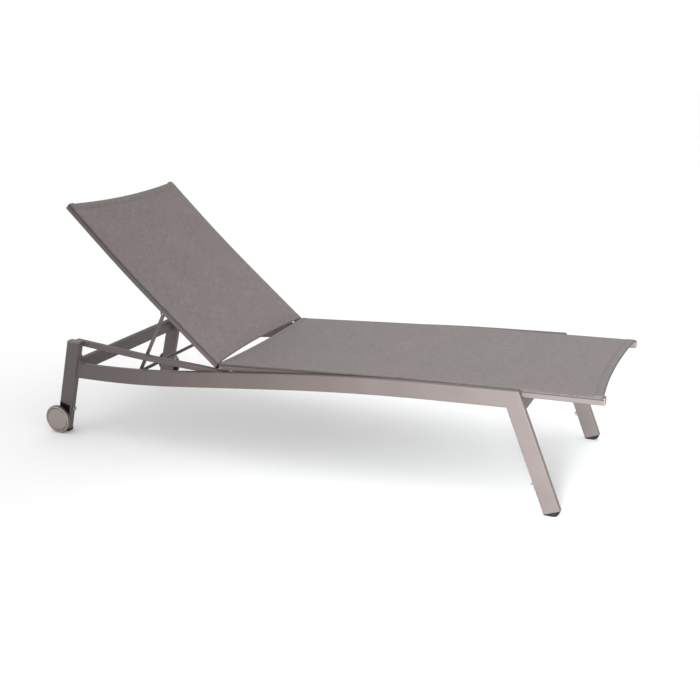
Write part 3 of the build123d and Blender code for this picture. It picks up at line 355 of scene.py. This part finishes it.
def lacquered_disc(code):
    """Moulded ABS under a metallic lacquer: fine rings round the axle draw the light out into soft sectors."""
    material, tree = new_material("metallic_lacquered_abs")
    place = add_node(tree, "ShaderNodeTexCoord").outputs["Object"]
    shift = add_node(
        tree, "ShaderNodeVectorMath", {"operation": "SUBTRACT"}, {0: place, 1: (WHEEL.x, 0.0, WHEEL.z)}
    )
    flat = add_node(
        tree, "ShaderNodeVectorMath", {"operation": "MULTIPLY"}, {0: shift.outputs[0], 1: (1.0, 0.0, 1.0)}
    ).outputs[0]
    radius = add_node(tree, "ShaderNodeVectorMath", {"operation": "LENGTH"}, {0: flat}).outputs["Value"]
    # Moulded rings: drawn 0.7 mm apart, coarser than the real 0.2 mm, so that they survive the picture's size
    marks = add_node(
        tree, "ShaderNodeTexNoise", {"noise_dimensions": "1D"}, {"W": radius, "Scale": 1400.0, "Detail": 2.0}
    ).outputs["Fac"]
    turning = add_node(
        tree, "ShaderNodeVectorMath", {"operation": "CROSS_PRODUCT"}, {0: flat, 1: (0.0, 1.0, 0.0)}
    )
    tangent = add_node(tree, "ShaderNodeVectorMath", {"operation": "NORMALIZE"}, {0: turning.outputs[0]})
    rough = add_node(
        tree,
        "ShaderNodeMapRange",
        inputs={"Value": marks, "From Min": NOISE_LOW, "From Max": NOISE_HIGH, "To Min": 0.3, "To Max": 0.42},
    )
    base = linear(code)
    tone = add_node(
        tree,
        "ShaderNodeValToRGB",
        inputs={"Fac": marks},
        stops=[(NOISE_LOW, toned(base, 0.93)), (NOISE_HIGH, toned(base, 1.07))],
    ).outputs["Color"]
    # Painted light in rings round the axle: the groove and the rolling edge are darkened as painted shade, and the
    # lip between them is lightened as a painted highlight
    share = add_node(tree, "ShaderNodeMath", {"operation": "DIVIDE"}, {0: radius, 1: WHEEL_RADIUS})
    unshaded_tone, painted_ring_shade, bright = (1.0, 1.0, 1.0, 1), (0.5, 0.48, 0.47, 1), (1.1, 1.1, 1.1, 1)
    rings = add_node(
        tree,
        "ShaderNodeValToRGB",
        inputs={"Fac": share.outputs[0]},
        stops=[
            (0.0, unshaded_tone),
            (0.77, unshaded_tone),
            (0.8, painted_ring_shade),
            (0.84, painted_ring_shade),
            (0.87, bright),
            (0.93, bright),
            (0.98, painted_ring_shade),
            (1.0, painted_ring_shade),
        ],
    ).outputs["Color"]
    colour = add_node(tree, "ShaderNodeMix", MULTIPLY, {0: 1.0, 6: tone, 7: rings}).outputs[2]
    shader = add_node(
        tree,
        "ShaderNodeBsdfPrincipled",
        inputs={
            "Base Color": colour,
            "Metallic": 0.85,
            "Roughness": rough.outputs["Result"],
            "Anisotropic": 0.7,
            "Tangent": tangent.outputs[0],
        },
    )
    add_node(tree, "ShaderNodeOutputMaterial", inputs={"Surface": shader.outputs["BSDF"]})
    return material


def stainless_steel(low, high):
    """Stainless steel, turned: bright, with a fine grain of tool marks that dulls it in places."""
    material, tree = new_material("stainless_steel_turned")
    place = add_node(tree, "ShaderNodeTexCoord").outputs["Object"]
    # Tool marks: drawn 1.1 mm wide, coarser than the real 0.1 mm, so that they show
    marks = add_node(
        tree, "ShaderNodeTexNoise", inputs={"Vector": place, "Scale": 900.0, "Detail": 2.0}
    ).outputs["Fac"]
    rough = add_node(
        tree,
        "ShaderNodeMapRange",
        inputs={"Value": marks, "From Min": NOISE_LOW, "From Max": NOISE_HIGH, "To Min": 0.24, "To Max": 0.38},
    )
    tone = add_node(
        tree,
        "ShaderNodeValToRGB",
        inputs={"Fac": marks},
        stops=[(NOISE_LOW, linear(low)), (NOISE_HIGH, linear(high))],
    )
    shader = add_node(
        tree,
        "ShaderNodeBsdfPrincipled",
        inputs={"Base Color": tone.outputs["Color"], "Metallic": 1.0, "Roughness": rough.outputs["Result"]},
    )
    add_node(tree, "ShaderNodeOutputMaterial", inputs={"Surface": shader.outputs["BSDF"]})
    return material


def sling_cloth():
    """PVC-coated polyester mesh: a dull plain weave of flecked yarns, with faint streaks along both threads."""
    fabric, _, _ = settings()
    material, tree = new_material("pvc_coated_polyester_mesh")
    uv = add_node(tree, "ShaderNodeUVMap", {"uv_map": "cloth"}).outputs["UV"]
    # Threads: two crossed waves, one for each direction of the weave, with one period to the real thread pitch.
    # The wave texture takes the sine of its scaled place times WAVE_RATE
    waves = [
        add_node(
            tree,
            "ShaderNodeTexWave",
            {"wave_type": "BANDS", "bands_direction": axis, "wave_profile": "SIN"},
            {
                "Vector": uv,
                "Scale": 2 * pi / fabric.thread_pitch / WAVE_RATE,
                "Distortion": 0.6,
                "Detail": 1.0,
                "Detail Scale": 2.0,
            },
        ).outputs["Fac"]
        for axis in ("X", "Y")
    ]
    weave = add_node(tree, "ShaderNodeMath", {"operation": "MULTIPLY"}, {0: waves[0], 1: waves[1]}).outputs[0]
    # Heather: each yarn changes tone along its length, so the noise is drawn out along the threads. The streaks
    # are drawn 2.4 mm thick and 22 mm long, coarser than the real 1 mm, so that they survive the picture's size
    streaks = []
    for stretch in ((420.0, 45.0, 1.0), (45.0, 420.0, 1.0)):
        drawn = add_node(tree, "ShaderNodeMapping", {"vector_type": "POINT"}, {"Vector": uv, "Scale": stretch})
        streaks.append(
            add_node(
                tree,
                "ShaderNodeTexNoise",
                inputs={"Vector": drawn.outputs[0], "Scale": 1.0, "Detail": 4.0, "Roughness": 0.6},
            ).outputs["Fac"]
        )
    blend = add_node(tree, "ShaderNodeMix", {"data_type": "FLOAT"}, {0: 0.28, 2: streaks[0], 3: streaks[1]})
    tone = add_node(
        tree,
        "ShaderNodeValToRGB",
        inputs={"Fac": blend.outputs[0]},
        stops=[(0.36, linear(fabric.shade)), (0.5, linear(fabric.yarn)), (0.64, linear(fabric.fleck))],
    )
    # Slubs: sparse knots in the yarn, drawn 3 mm wide and 8 mm long, lighter or darker than the rest
    knots = add_node(
        tree, "ShaderNodeMapping", {"vector_type": "POINT"}, {"Vector": uv, "Scale": (330.0, 120.0, 1.0)}
    )
    knot = add_node(tree, "ShaderNodeTexNoise", inputs={"Vector": knots.outputs[0], "Scale": 1.0, "Detail": 1.0})
    slubs = add_node(
        tree,
        "ShaderNodeValToRGB",
        inputs={"Fac": knot.outputs["Fac"]},
        stops=[(0.28, (0.74, 0.74, 0.74, 1)), (0.36, (1, 1, 1, 1)), (0.64, (1, 1, 1, 1)), (0.72, (1.3, 1.3, 1.3, 1))],
    )
    # Wear: patches of about a hand's width, a little lighter or darker
    patch = add_node(tree, "ShaderNodeTexNoise", inputs={"Vector": uv, "Scale": 9.0, "Detail": 2.0})
    patches = add_node(
        tree,
        "ShaderNodeValToRGB",
        inputs={"Fac": patch.outputs["Fac"]},
        stops=[(NOISE_LOW, (0.95, 0.95, 0.95, 1)), (NOISE_HIGH, (1.05, 1.05, 1.05, 1))],
    )
    holes = add_node(
        tree,
        "ShaderNodeValToRGB",
        inputs={"Fac": weave},
        stops=[(0.0, (0.8, 0.8, 0.8, 1)), (0.35, (1.04, 1.04, 1.04, 1))],
    )
    # The cloth's last centimetre, where it wraps over the rail's edge into its slot, is darkened: painted shade on
    # the wrapped side
    across = add_node(tree, "ShaderNodeSeparateXYZ", inputs={"Vector": uv}).outputs["X"]
    width = cloth_line(fabric.seat_sag)[-1][2]
    other = add_node(tree, "ShaderNodeMath", {"operation": "SUBTRACT"}, {0: width, 1: across})
    nearer = add_node(tree, "ShaderNodeMath", {"operation": "MINIMUM"}, {0: across, 1: other.outputs[0]})
    painted_edge_shade = add_node(
        tree,
        "ShaderNodeMapRange",
        inputs={
            "Value": nearer.outputs[0],
            "From Min": 0.0075,
            "From Max": 0.0115,
            "To Min": 0.4,
            "To Max": 1.0,
        },
    )
    colour = tone.outputs["Color"]
    for layer in (slubs.outputs[0], patches.outputs[0], holes.outputs[0], painted_edge_shade.outputs[0]):
        colour = add_node(tree, "ShaderNodeMix", MULTIPLY, {0: 1.0, 6: colour, 7: layer}).outputs[2]
    bump = add_node(tree, "ShaderNodeBump", inputs={"Height": weave, "Strength": 0.35, "Distance": 0.0004})
    shader = add_node(
        tree,
        "ShaderNodeBsdfPrincipled",
        inputs={
            "Base Color": colour,
            "Roughness": 0.62,
            "IOR": 1.46,
            "Sheen Weight": 0.12,
            "Sheen Roughness": 0.5,
            "Normal": bump.outputs["Normal"],
        },
    )
    add_node(tree, "ShaderNodeOutputMaterial", inputs={"Surface": shader.outputs["BSDF"]})
    return material


def sewing_thread(name, low, high):
    """Bonded polyester thread, twisted: smooth, with a soft shine and a tone that runs along the twist."""
    material, tree = new_material(name)
    place = add_node(tree, "ShaderNodeTexCoord").outputs["Object"]
    # The twist's tones are 0.4 mm long, about a turn of the real ply
    twist = add_node(tree, "ShaderNodeTexNoise", inputs={"Vector": place, "Scale": 2500.0, "Detail": 1.0})
    tone = add_node(
        tree,
        "ShaderNodeValToRGB",
        inputs={"Fac": twist.outputs["Fac"]},
        stops=[(NOISE_LOW, linear(low)), (NOISE_HIGH, linear(high))],
    )
    shader = add_node(
        tree,
        "ShaderNodeBsdfPrincipled",
        inputs={"Base Color": tone.outputs["Color"], "Roughness": 0.5, "IOR": 1.5},
    )
    add_node(tree, "ShaderNodeOutputMaterial", inputs={"Surface": shader.outputs["BSDF"]})
    return material


def floor_paint():
    """Matt white floor paint, rolled: without gloss, so that only the soft shadows show on it."""
    material, tree = new_material("matt_white_floor_paint")
    white = (FLOOR_WHITE, FLOOR_WHITE, FLOOR_WHITE, 1.0)
    shader = add_node(
        tree,
        "ShaderNodeBsdfPrincipled",
        inputs={"Base Color": white, "Roughness": 0.9, "Specular IOR Level": 0.1},
    )
    add_node(tree, "ShaderNodeOutputMaterial", inputs={"Surface": shader.outputs["BSDF"]})
    return material


def keep(mesh, name, material, body):
    """Makes an object of a finished bmesh, with its material and its body."""
    data = bpy.data.meshes.new(name)
    mesh.to_mesh(data)
    mesh.free()
    piece = bpy.data.objects.new(name, data)
    bpy.context.scene.collection.objects.link(piece)
    data.materials.append(material)
    for face in data.polygons:
        face.use_smooth = True
    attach(piece, body)
    return piece


def rail_point(first, last, bend, radius, along, up):
    """Point at a distance along a rail that bends once, and the rail's own upward direction there."""
    turn = first.angle(last)
    entry = bend - radius * tan(turn / 2)
    side = (last - first * first.dot(last)).normalized()
    gone = min(max((along - entry) / radius, 0.0), turn)
    point = HINGE + first * min(along, entry) + first * (radius * sin(gone)) + side * (radius * (1 - cos(gone)))
    run = first * cos(gone) + side * sin(gone)
    rest = along - entry - radius * turn
    if rest > 0:
        point += run * rest
    return point, Vector((-run.z, 0, run.x)) * up


def seat_place(along, y, rise):
    """Point of the seat: along the rails from the hinge, across, and square to the rails."""
    first = (SEAT_CROWN - HINGE).normalized()
    last = (SEAT_FOOT - SEAT_CROWN).normalized()
    point, up = rail_point(first, last, (SEAT_CROWN - HINGE).length, SEAT_RADIUS, along, 1)
    return point + up * rise + Vector((0, y, 0))


def back_place(along, y, rise):
    """Point of the backrest: along the rails from the hinge, across, and square to the rails."""
    first = Vector((-cos(BACK_LOW), 0, sin(BACK_LOW)))
    last = Vector((-cos(BACK_HIGH), 0, sin(BACK_HIGH)))
    point, up = rail_point(first, last, BACK_BEND, BACK_RADIUS, along, -1)
    return point + up * rise + Vector((0, y, 0))


def cloth_line(sag, steps=CLOTH_STEPS):
    """The cloth's line across, from the right-hand slot to the left-hand slot, as (y, rise, length so far)."""
    fabric, _, _ = settings()
    half = fabric.thickness / 2 + CLOTH_GAP
    inside, mouth, outside = SLOT_RISES
    edge = [
        (RAIL_OUTER - SLOT_DEPTH, SLOT_HEIGHT + inside),
        (RAIL_OUTER + SLOT_MOUTH, SLOT_HEIGHT + mouth),
        (RAIL_OUTER + half, SLOT_HEIGHT + outside),
        (RAIL_OUTER + half, RAIL_HALF - RAIL_EDGE),
    ]
    radius = RAIL_EDGE + half
    for k in range(1, ARC_STEPS + 1):
        turn = k / ARC_STEPS * pi / 2
        edge.append((RAIL_OUTER - RAIL_EDGE + radius * cos(turn), RAIL_HALF - RAIL_EDGE + radius * sin(turn)))
    edge += [(RAIL_INNER + mark, RAIL_HALF + half) for mark in REST_MARKS]
    for k in range(1, steps + 1):
        y = RAIL_INNER * (1 - k / steps)
        edge.append((y, RAIL_HALF + half - sag * (1 - (y / RAIL_INNER) ** 2)))
    line = [(-y, rise) for y, rise in edge] + [(y, rise) for y, rise in reversed(edge[:-1])]
    out, run = [], 0.0
    for i, (y, rise) in enumerate(line):
        if i:
            run += sqrt((y - line[i - 1][0]) ** 2 + (rise - line[i - 1][1]) ** 2)
        out.append((y, rise, run))
    return out


def upper_line(sag, inset, steps=CLOTH_STEPS):
    """The part of the cloth's line that hems and seams follow."""
    line = cloth_line(sag, steps)
    return [entry for entry in line if abs(entry[0]) <= RAIL_OUTER - inset and entry[1] > RAIL_HALF - sag - HEM_DIP]


def bow(y):
    """How far a hem's curve has come in at a distance from the middle, as a share."""
    return 1 - min(1.0, (y / RAIL_INNER) ** 2)


def make_sling(name, place, run, curves, sag, rows, body, node, material):
    """A stretched sling: a grid laid over both rails into their slots, with both hems curved in."""
    fabric, _, _ = settings()
    start, end = run
    line = cloth_line(sag)
    mesh = bmesh.new()
    layer = mesh.loops.layers.uv.new("cloth")
    bmesh.ops.create_grid(mesh, x_segments=rows, y_segments=len(line) - 1, size=0.5)
    spots = {}
    for vertex in mesh.verts:
        y, rise, width = line[round((vertex.co.y + 0.5) * (len(line) - 1))]
        low = start + curves[0] * bow(y)
        high = end - curves[1] * bow(y)
        reach = low + (high - low) * (vertex.co.x + 0.5)
        # A slack ripple of under a millimetre, strongest half way between the rails
        ripple = RIPPLE_HEIGHT * sin(reach * RIPPLE_RATE + RIPPLE_SLANT * y) * bow(y)
        spots[vertex] = (width, reach)
        vertex.co = place(reach, y, rise + ripple)
    for face in mesh.faces:
        for loop in face.loops:
            loop[layer].uv = spots[loop.vert]
    bmesh.ops.recalc_face_normals(mesh, faces=mesh.faces)
    centre = place((start + end) / 2, 0, RAIL_HALF)
    middle = min(mesh.faces, key=lambda face: (face.calc_center_median() - centre).length)
    if middle.normal.dot(place(start, 0, 1) - place(start, 0, 0)) < 0:
        bmesh.ops.reverse_faces(mesh, faces=mesh.faces)
    area = sum(face.calc_area() for face in mesh.faces)
    piece = keep(mesh, name, material, body)
    solid = piece.modifiers.new("thickness", "SOLIDIFY")
    solid.thickness = fabric.thickness
    solid.offset = 0.0
    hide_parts(node)
    return piece, line[-1][2], end - start, area


def make_roll(name, place, end, line, facets, section, body, material):
    """A closed roll along a sling's curved end. Its section gives (distance in, rise) for each angle."""
    edge, curve, inward = end
    mesh = bmesh.new()
    layer = mesh.loops.layers.uv.new("cloth")
    bmesh.ops.create_grid(mesh, x_segments=facets, y_segments=len(line) - 1, size=0.5)
    spots = {}
    for vertex in mesh.verts:
        y, rise, width = line[round((vertex.co.y + 0.5) * (len(line) - 1))]
        distance, lift = section((vertex.co.x + 0.5) * 2 * pi)
        reach = edge + inward * (curve * bow(y) + distance)
        spots[vertex] = (width, reach)
        vertex.co = place(reach, y, rise + lift)
    for face in mesh.faces:
        for loop in face.loops:
            loop[layer].uv = spots[loop.vert]
    bmesh.ops.remove_doubles(mesh, verts=mesh.verts, dist=WELD)
    bmesh.ops.holes_fill(mesh, edges=[e for e in mesh.edges if e.is_boundary], sides=0)
    bmesh.ops.recalc_face_normals(mesh, faces=mesh.faces)
    if mesh.calc_volume(signed=True) < 0:
        bmesh.ops.reverse_faces(mesh, faces=mesh.faces)
    piece = keep(mesh, name, material, body)
    return piece


def hem_section(turn):
    """A sewn hem: a flat sleeve of doubled cloth."""
    fabric, _, _ = settings()
    flat = abs(cos(turn)) ** HEM_FLATNESS * (1 if cos(turn) > 0 else -1)
    return fabric.hem_width / 2 * (1 + flat), fabric.hem_rise / 2 * sin(turn)


def painted_shade_roll_section(turn):
    """A thin dark roll along the very edge of one hem: painted shade for the shadowed edge of the hem."""
    fabric, _, _ = settings()
    return SHADE_ROLL_MIDDLE + SHADE_ROLL_HALF * cos(turn), (fabric.hem_rise / 2 + SHADE_ROLL_PROUD) * sin(turn)


def make_stitches(name, place, ends, sag, body, material):
    """Lines of lock stitches, each stitch a small thread bead lying along its row."""
    fabric, _, _ = settings()
    line = upper_line(sag, SEAM_INSET, STITCH_STEPS)
    total = line[-1][2] - line[0][2]
    count = int(total / (fabric.stitch * STITCH_PITCH))
    top = fabric.hem_rise / 2 + STITCH_LIFT
    mesh = bmesh.new()
    for edge, curve, inward in ends:
        for distance in SEAM_ROWS:
            for k in range(count):
                target = line[0][2] + total * (k + 0.5) / count
                index = max(i for i, entry in enumerate(line) if entry[2] <= target)
                index = min(index, len(line) - 2)
                a, b = line[index], line[index + 1]
                share = (target - a[2]) / (b[2] - a[2])
                y = a[0] + (b[0] - a[0]) * share
                height = a[1] + (b[1] - a[1]) * share + top
                slope = curve * 2 * y / RAIL_INNER**2
                reach = edge + inward * (curve * bow(y) + distance)
                spot = place(reach, y, height)
                run = (place(reach - inward * slope * STEP, y + STEP, height) - spot).normalized()
                up = (place(reach, y, 1.0) - place(reach, y, 0.0)).normalized()
                side = up.cross(run).normalized()
                turn = Matrix((run, side, run.cross(side))).transposed().to_4x4()
                size = Matrix.Diagonal((fabric.stitch / 2, STITCH_HALF_WIDTH, STITCH_HALF_HEIGHT, 1.0))
                bmesh.ops.create_icosphere(
                    mesh, subdivisions=1, radius=1.0, matrix=Matrix.Translation(spot) @ turn @ size
                )
    return keep(mesh, name, material, body)


def dress_rails(part, place, run, curves, sag, rows, body, node, ends, shaded_end):
    """Makes one sling with its hems, a dark roll of painted shade along one hem's edge, and seams. ends names the far
    end and the hinge end.
    """
    fabric, _, _ = settings()
    find = bpy.data.materials.get
    cloth = find("pvc_coated_polyester_mesh") or sling_cloth()
    thread = find("bonded_polyester_thread") or sewing_thread(
        "bonded_polyester_thread", fabric.thread, fabric.thread_high
    )
    # The dark roll's thread carries painted shade: its dark tones stand in for the shadow along the hem's edge
    dark = find("overlock_thread_dark") or sewing_thread("overlock_thread_dark", fabric.painted_shade_roll, fabric.painted_shade_roll_high)
    sling, width, length, area = make_sling(f"{part}_cloth", place, run, curves, sag, rows, body, node, cloth)
    shapes = {ends[0]: (run[1], curves[1], -1), ends[1]: (run[0], curves[0], 1)}
    extras = [
        make_roll(
            f"{part}_{end}_hem", place, shape, upper_line(sag, HEM_INSET), HEM_FACETS, hem_section, body, cloth
        )
        for end, shape in shapes.items()
    ]
    # A dark roll along one hem's very edge, painted shade for that edge's shadow
    line = upper_line(sag, SHADE_ROLL_INSET, SHADE_ROLL_STEPS)
    extras.append(
        make_roll(
            f"{part}_{shaded_end}_edging", place, shapes[shaded_end], line, SHADE_ROLL_FACETS, painted_shade_roll_section, body, dark
        )
    )
    extras.append(make_stitches(f"{part}_stitches", place, shapes.values(), sag, body, thread))


def make_wheel_cover(name, side, node, body, material):
    """A turned cover: shallow dome, rim groove, rounded lip and skirt."""
    outer, back = WHEEL_OUTER, WHEEL_BACK
    # Radius and distance from the middle plane: dome, groove, lip, skirt, and back along the inside
    profile = [
        (0.0, outer),
        (0.010, outer - 0.0001),
        (0.020, outer - 0.0004),
        (0.030, outer - 0.0009),
        (0.0382, outer - 0.0014),
        (0.0392, outer - 0.0018),
        (0.0397, outer - 0.0036),
        (0.0419, outer - 0.0036),
        (0.0424, outer - 0.0018),
        (0.0445, outer - 0.0016),
        (0.0468, outer - 0.0024),
        (0.0487, outer - 0.0038),
        (0.0497, outer - 0.0056),
        (WHEEL_RADIUS, outer - 0.0075),
        (WHEEL_RADIUS, back + 0.0012),
        (0.0494, back + 0.0001),
        (0.0478, back + 0.0001),
        (0.0478, outer - 0.0058),
        (0.0, outer - 0.0056),
    ]
    mesh = bmesh.new()
    verts = [mesh.verts.new((WHEEL.x + radius, side * y, WHEEL.z)) for radius, y in profile]
    edges = [mesh.edges.new(pair) for pair in zip(verts, verts[1:])]
    bmesh.ops.spin(
        mesh,
        geom=verts + edges,
        cent=(WHEEL.x, 0, WHEEL.z),
        axis=(0, 1, 0),
        angle=2 * pi,
        steps=WHEEL_FACETS,
        use_merge=True,
    )
    bmesh.ops.remove_doubles(mesh, verts=mesh.verts, dist=WELD)
    bmesh.ops.recalc_face_normals(mesh, faces=mesh.faces)
    piece = keep(mesh, name, material, body)
    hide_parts(node)


class LOUNGE_OT_stage(bpy.types.Operator):
    """Sets up the pale floor, the soft lights and the camera"""

    bl_idname = "lounge.stage"
    bl_label = "Studio"

    def execute(self, context):
        _, _, studio = settings()
        scene = context.scene
        scene.view_settings.view_transform = "Standard"
        scene.view_settings.look = "None"
        world = bpy.data.worlds.new("studio_air")
        world.use_nodes = True
        air = world.node_tree.nodes["Background"]
        air.inputs["Color"].default_value = (1.0, 1.0, 1.0, 1.0)
        air.inputs["Strength"].default_value = WORLD_STRENGTH
        scene.world = world
        mesh = bmesh.new()
        bmesh.ops.create_grid(mesh, x_segments=1, y_segments=1, size=FLOOR_HALF)
        data = bpy.data.meshes.new("floor")
        mesh.to_mesh(data)
        mesh.free()
        floor = bpy.data.objects.new("floor", data)
        data.materials.append(floor_paint())
        scene.collection.objects.link(floor)
        for name, power, lamp in (("key", studio.key, KEY), ("top", studio.fill, TOP)):
            light = bpy.data.lights.new(name, "AREA")
            light.energy = power
            light.size = lamp["size"]
            light.spread = radians(lamp["spread"])
            light.color = lamp["tint"]
            holder = bpy.data.objects.new(name, light)
            holder.location = lamp["spot"]
            aim = Vector(lamp["aim"]) - Vector(lamp["spot"])
            holder.rotation_euler = aim.to_track_quat("-Z", "Y").to_euler()
            holder.visible_camera = False
            scene.collection.objects.link(holder)
        camera = bpy.data.cameras.new("camera")
        camera.lens = studio.lens
        camera.sensor_width = SENSOR
        camera.clip_end = SIGHT
        holder = bpy.data.objects.new("camera", camera)
        turn = (
            Matrix.Rotation(studio.yaw, 4, "Z")
            @ Matrix.Rotation(pi / 2 - studio.pitch, 4, "X")
            @ Matrix.Rotation(studio.roll, 4, "Z")
        )
        holder.matrix_world = Matrix.Translation(Vector(studio.eye)) @ turn
        scene.collection.objects.link(holder)
        scene.camera = holder
        return {"FINISHED"}


class LOUNGE_OT_finishes(bpy.types.Operator):
    """Gives every piece of the frame its finish"""

    bl_idname = "lounge.finishes"
    bl_label = "Frame finishes"

    def execute(self, context):
        _, finish, _ = settings()
        coat = powder_coat(finish.coat, finish.grain, 0.4, 0.3)
        pads = moulded_plastic("moulded_tpe_light_taupe", finish.pads, 0.5, 0.6, 0.12)
        kinds = {
            "frame_paint": coat,
            "rail_paint": coat,
            "bar_paint": coat,
            "cap_plastic": moulded_plastic("moulded_nylon_taupe", finish.moulded, 0.42, 0.6, 0.12, 0.3),
            "keder_cord": moulded_plastic("extruded_pvc_cord", finish.cord, 0.5, 0.5, 0.1),
            "black_plastic": moulded_plastic("moulded_nylon_black", finish.black, 0.55, 0.7, 0.25, 0.15),
            "wheel_rubber": moulded_plastic("thermoplastic_rubber", finish.rubber, 0.66, 0.5, 0.3),
            "steel": stainless_steel(finish.steel, finish.steel_high),
        }
        for entry in frame["record"]["subparts"]:
            if entry["material_slot"] in REPLACED:
                continue
            piece = frame["nodes"][entry["node"]]
            kind = pads if entry["node"] == "stacking_bumpers" else kinds[entry["material_slot"]]
            if not piece.material_slots:
                piece.data.materials.append(kind)
            for slot in piece.material_slots:
                slot.material = kind
        return {"FINISHED"}


class LOUNGE_OT_seat_sling(bpy.types.Operator):
    """Makes the seat's sling, its hems and its stitches"""

    bl_idname = "lounge.seat_sling"
    bl_label = "Seat sling"

    def execute(self, context):
        fabric, _, _ = settings()
        dress_rails(
            "seat",
            seat_place,
            SEAT_RUN,
            SEAT_CURVES,
            fabric.seat_sag,
            SEAT_ROWS,
            "base_frame",
            "seat_sling",
            ("foot", "head"),
            "foot",
        )
        return {"FINISHED"}


class LOUNGE_OT_back_sling(bpy.types.Operator):
    """Makes the backrest's sling, its hems and its stitches"""

    bl_idname = "lounge.back_sling"
    bl_label = "Backrest sling"

    def execute(self, context):
        fabric, _, _ = settings()
        dress_rails(
            "back",
            back_place,
            BACK_RUN,
            BACK_CURVES,
            fabric.back_sag,
            BACK_ROWS,
            "backrest",
            "backrest_sling",
            ("top", "low"),
            "low",
        )
        return {"FINISHED"}


class LOUNGE_OT_wheel_covers(bpy.types.Operator):
    """Makes the domed covers of both wheels"""

    bl_idname = "lounge.wheel_covers"
    bl_label = "Wheel covers"

    def execute(self, context):
        _, finish, _ = settings()
        shell = lacquered_disc(finish.disc)
        make_wheel_cover("cover_right", -1, "wheel_cover_right", "wheel_right", shell)
        make_wheel_cover("cover_left", 1, "wheel_cover_left", "wheel_left", shell)
        return {"FINISHED"}


class LOUNGE_PT_panel(bpy.types.Panel):
    """Lists the steps that dress the lounge"""

    bl_idname = "LOUNGE_PT_panel"
    bl_label = "Sling Chaise Lounge"
    bl_space_type = "VIEW_3D"
    bl_region_type = "UI"
    bl_category = "Lounge"

    def draw(self, context):
        for step in STEPS:
            self.layout.operator(step.bl_idname)
        for group in settings():
            box = self.layout.box()
            for name in group.__annotations__:
                box.prop(group, name)


STEPS = (
    LOUNGE_OT_stage,
    LOUNGE_OT_finishes,
    LOUNGE_OT_seat_sling,
    LOUNGE_OT_back_sling,
    LOUNGE_OT_wheel_covers,
)
GROUPS = (LoungeFabric, LoungeFinish, LoungeStudio)


def register():
    for kind in GROUPS + STEPS + (LOUNGE_PT_panel,):
        bpy.utils.register_class(kind)
    bpy.types.Scene.lounge_fabric = PointerProperty(type=LoungeFabric)
    bpy.types.Scene.lounge_finish = PointerProperty(type=LoungeFinish)
    bpy.types.Scene.lounge_studio = PointerProperty(type=LoungeStudio)


def unregister():
    del bpy.types.Scene.lounge_studio
    del bpy.types.Scene.lounge_finish
    del bpy.types.Scene.lounge_fabric
    for kind in reversed(GROUPS + STEPS + (LOUNGE_PT_panel,)):
        bpy.utils.unregister_class(kind)


def main():
    register()
    bpy.ops.lounge.stage()
    bpy.ops.lounge.finishes()
    bpy.ops.lounge.seat_sling()
    bpy.ops.lounge.back_sling()
    bpy.ops.lounge.wheel_covers()


if __name__ == "__main__":
    main()
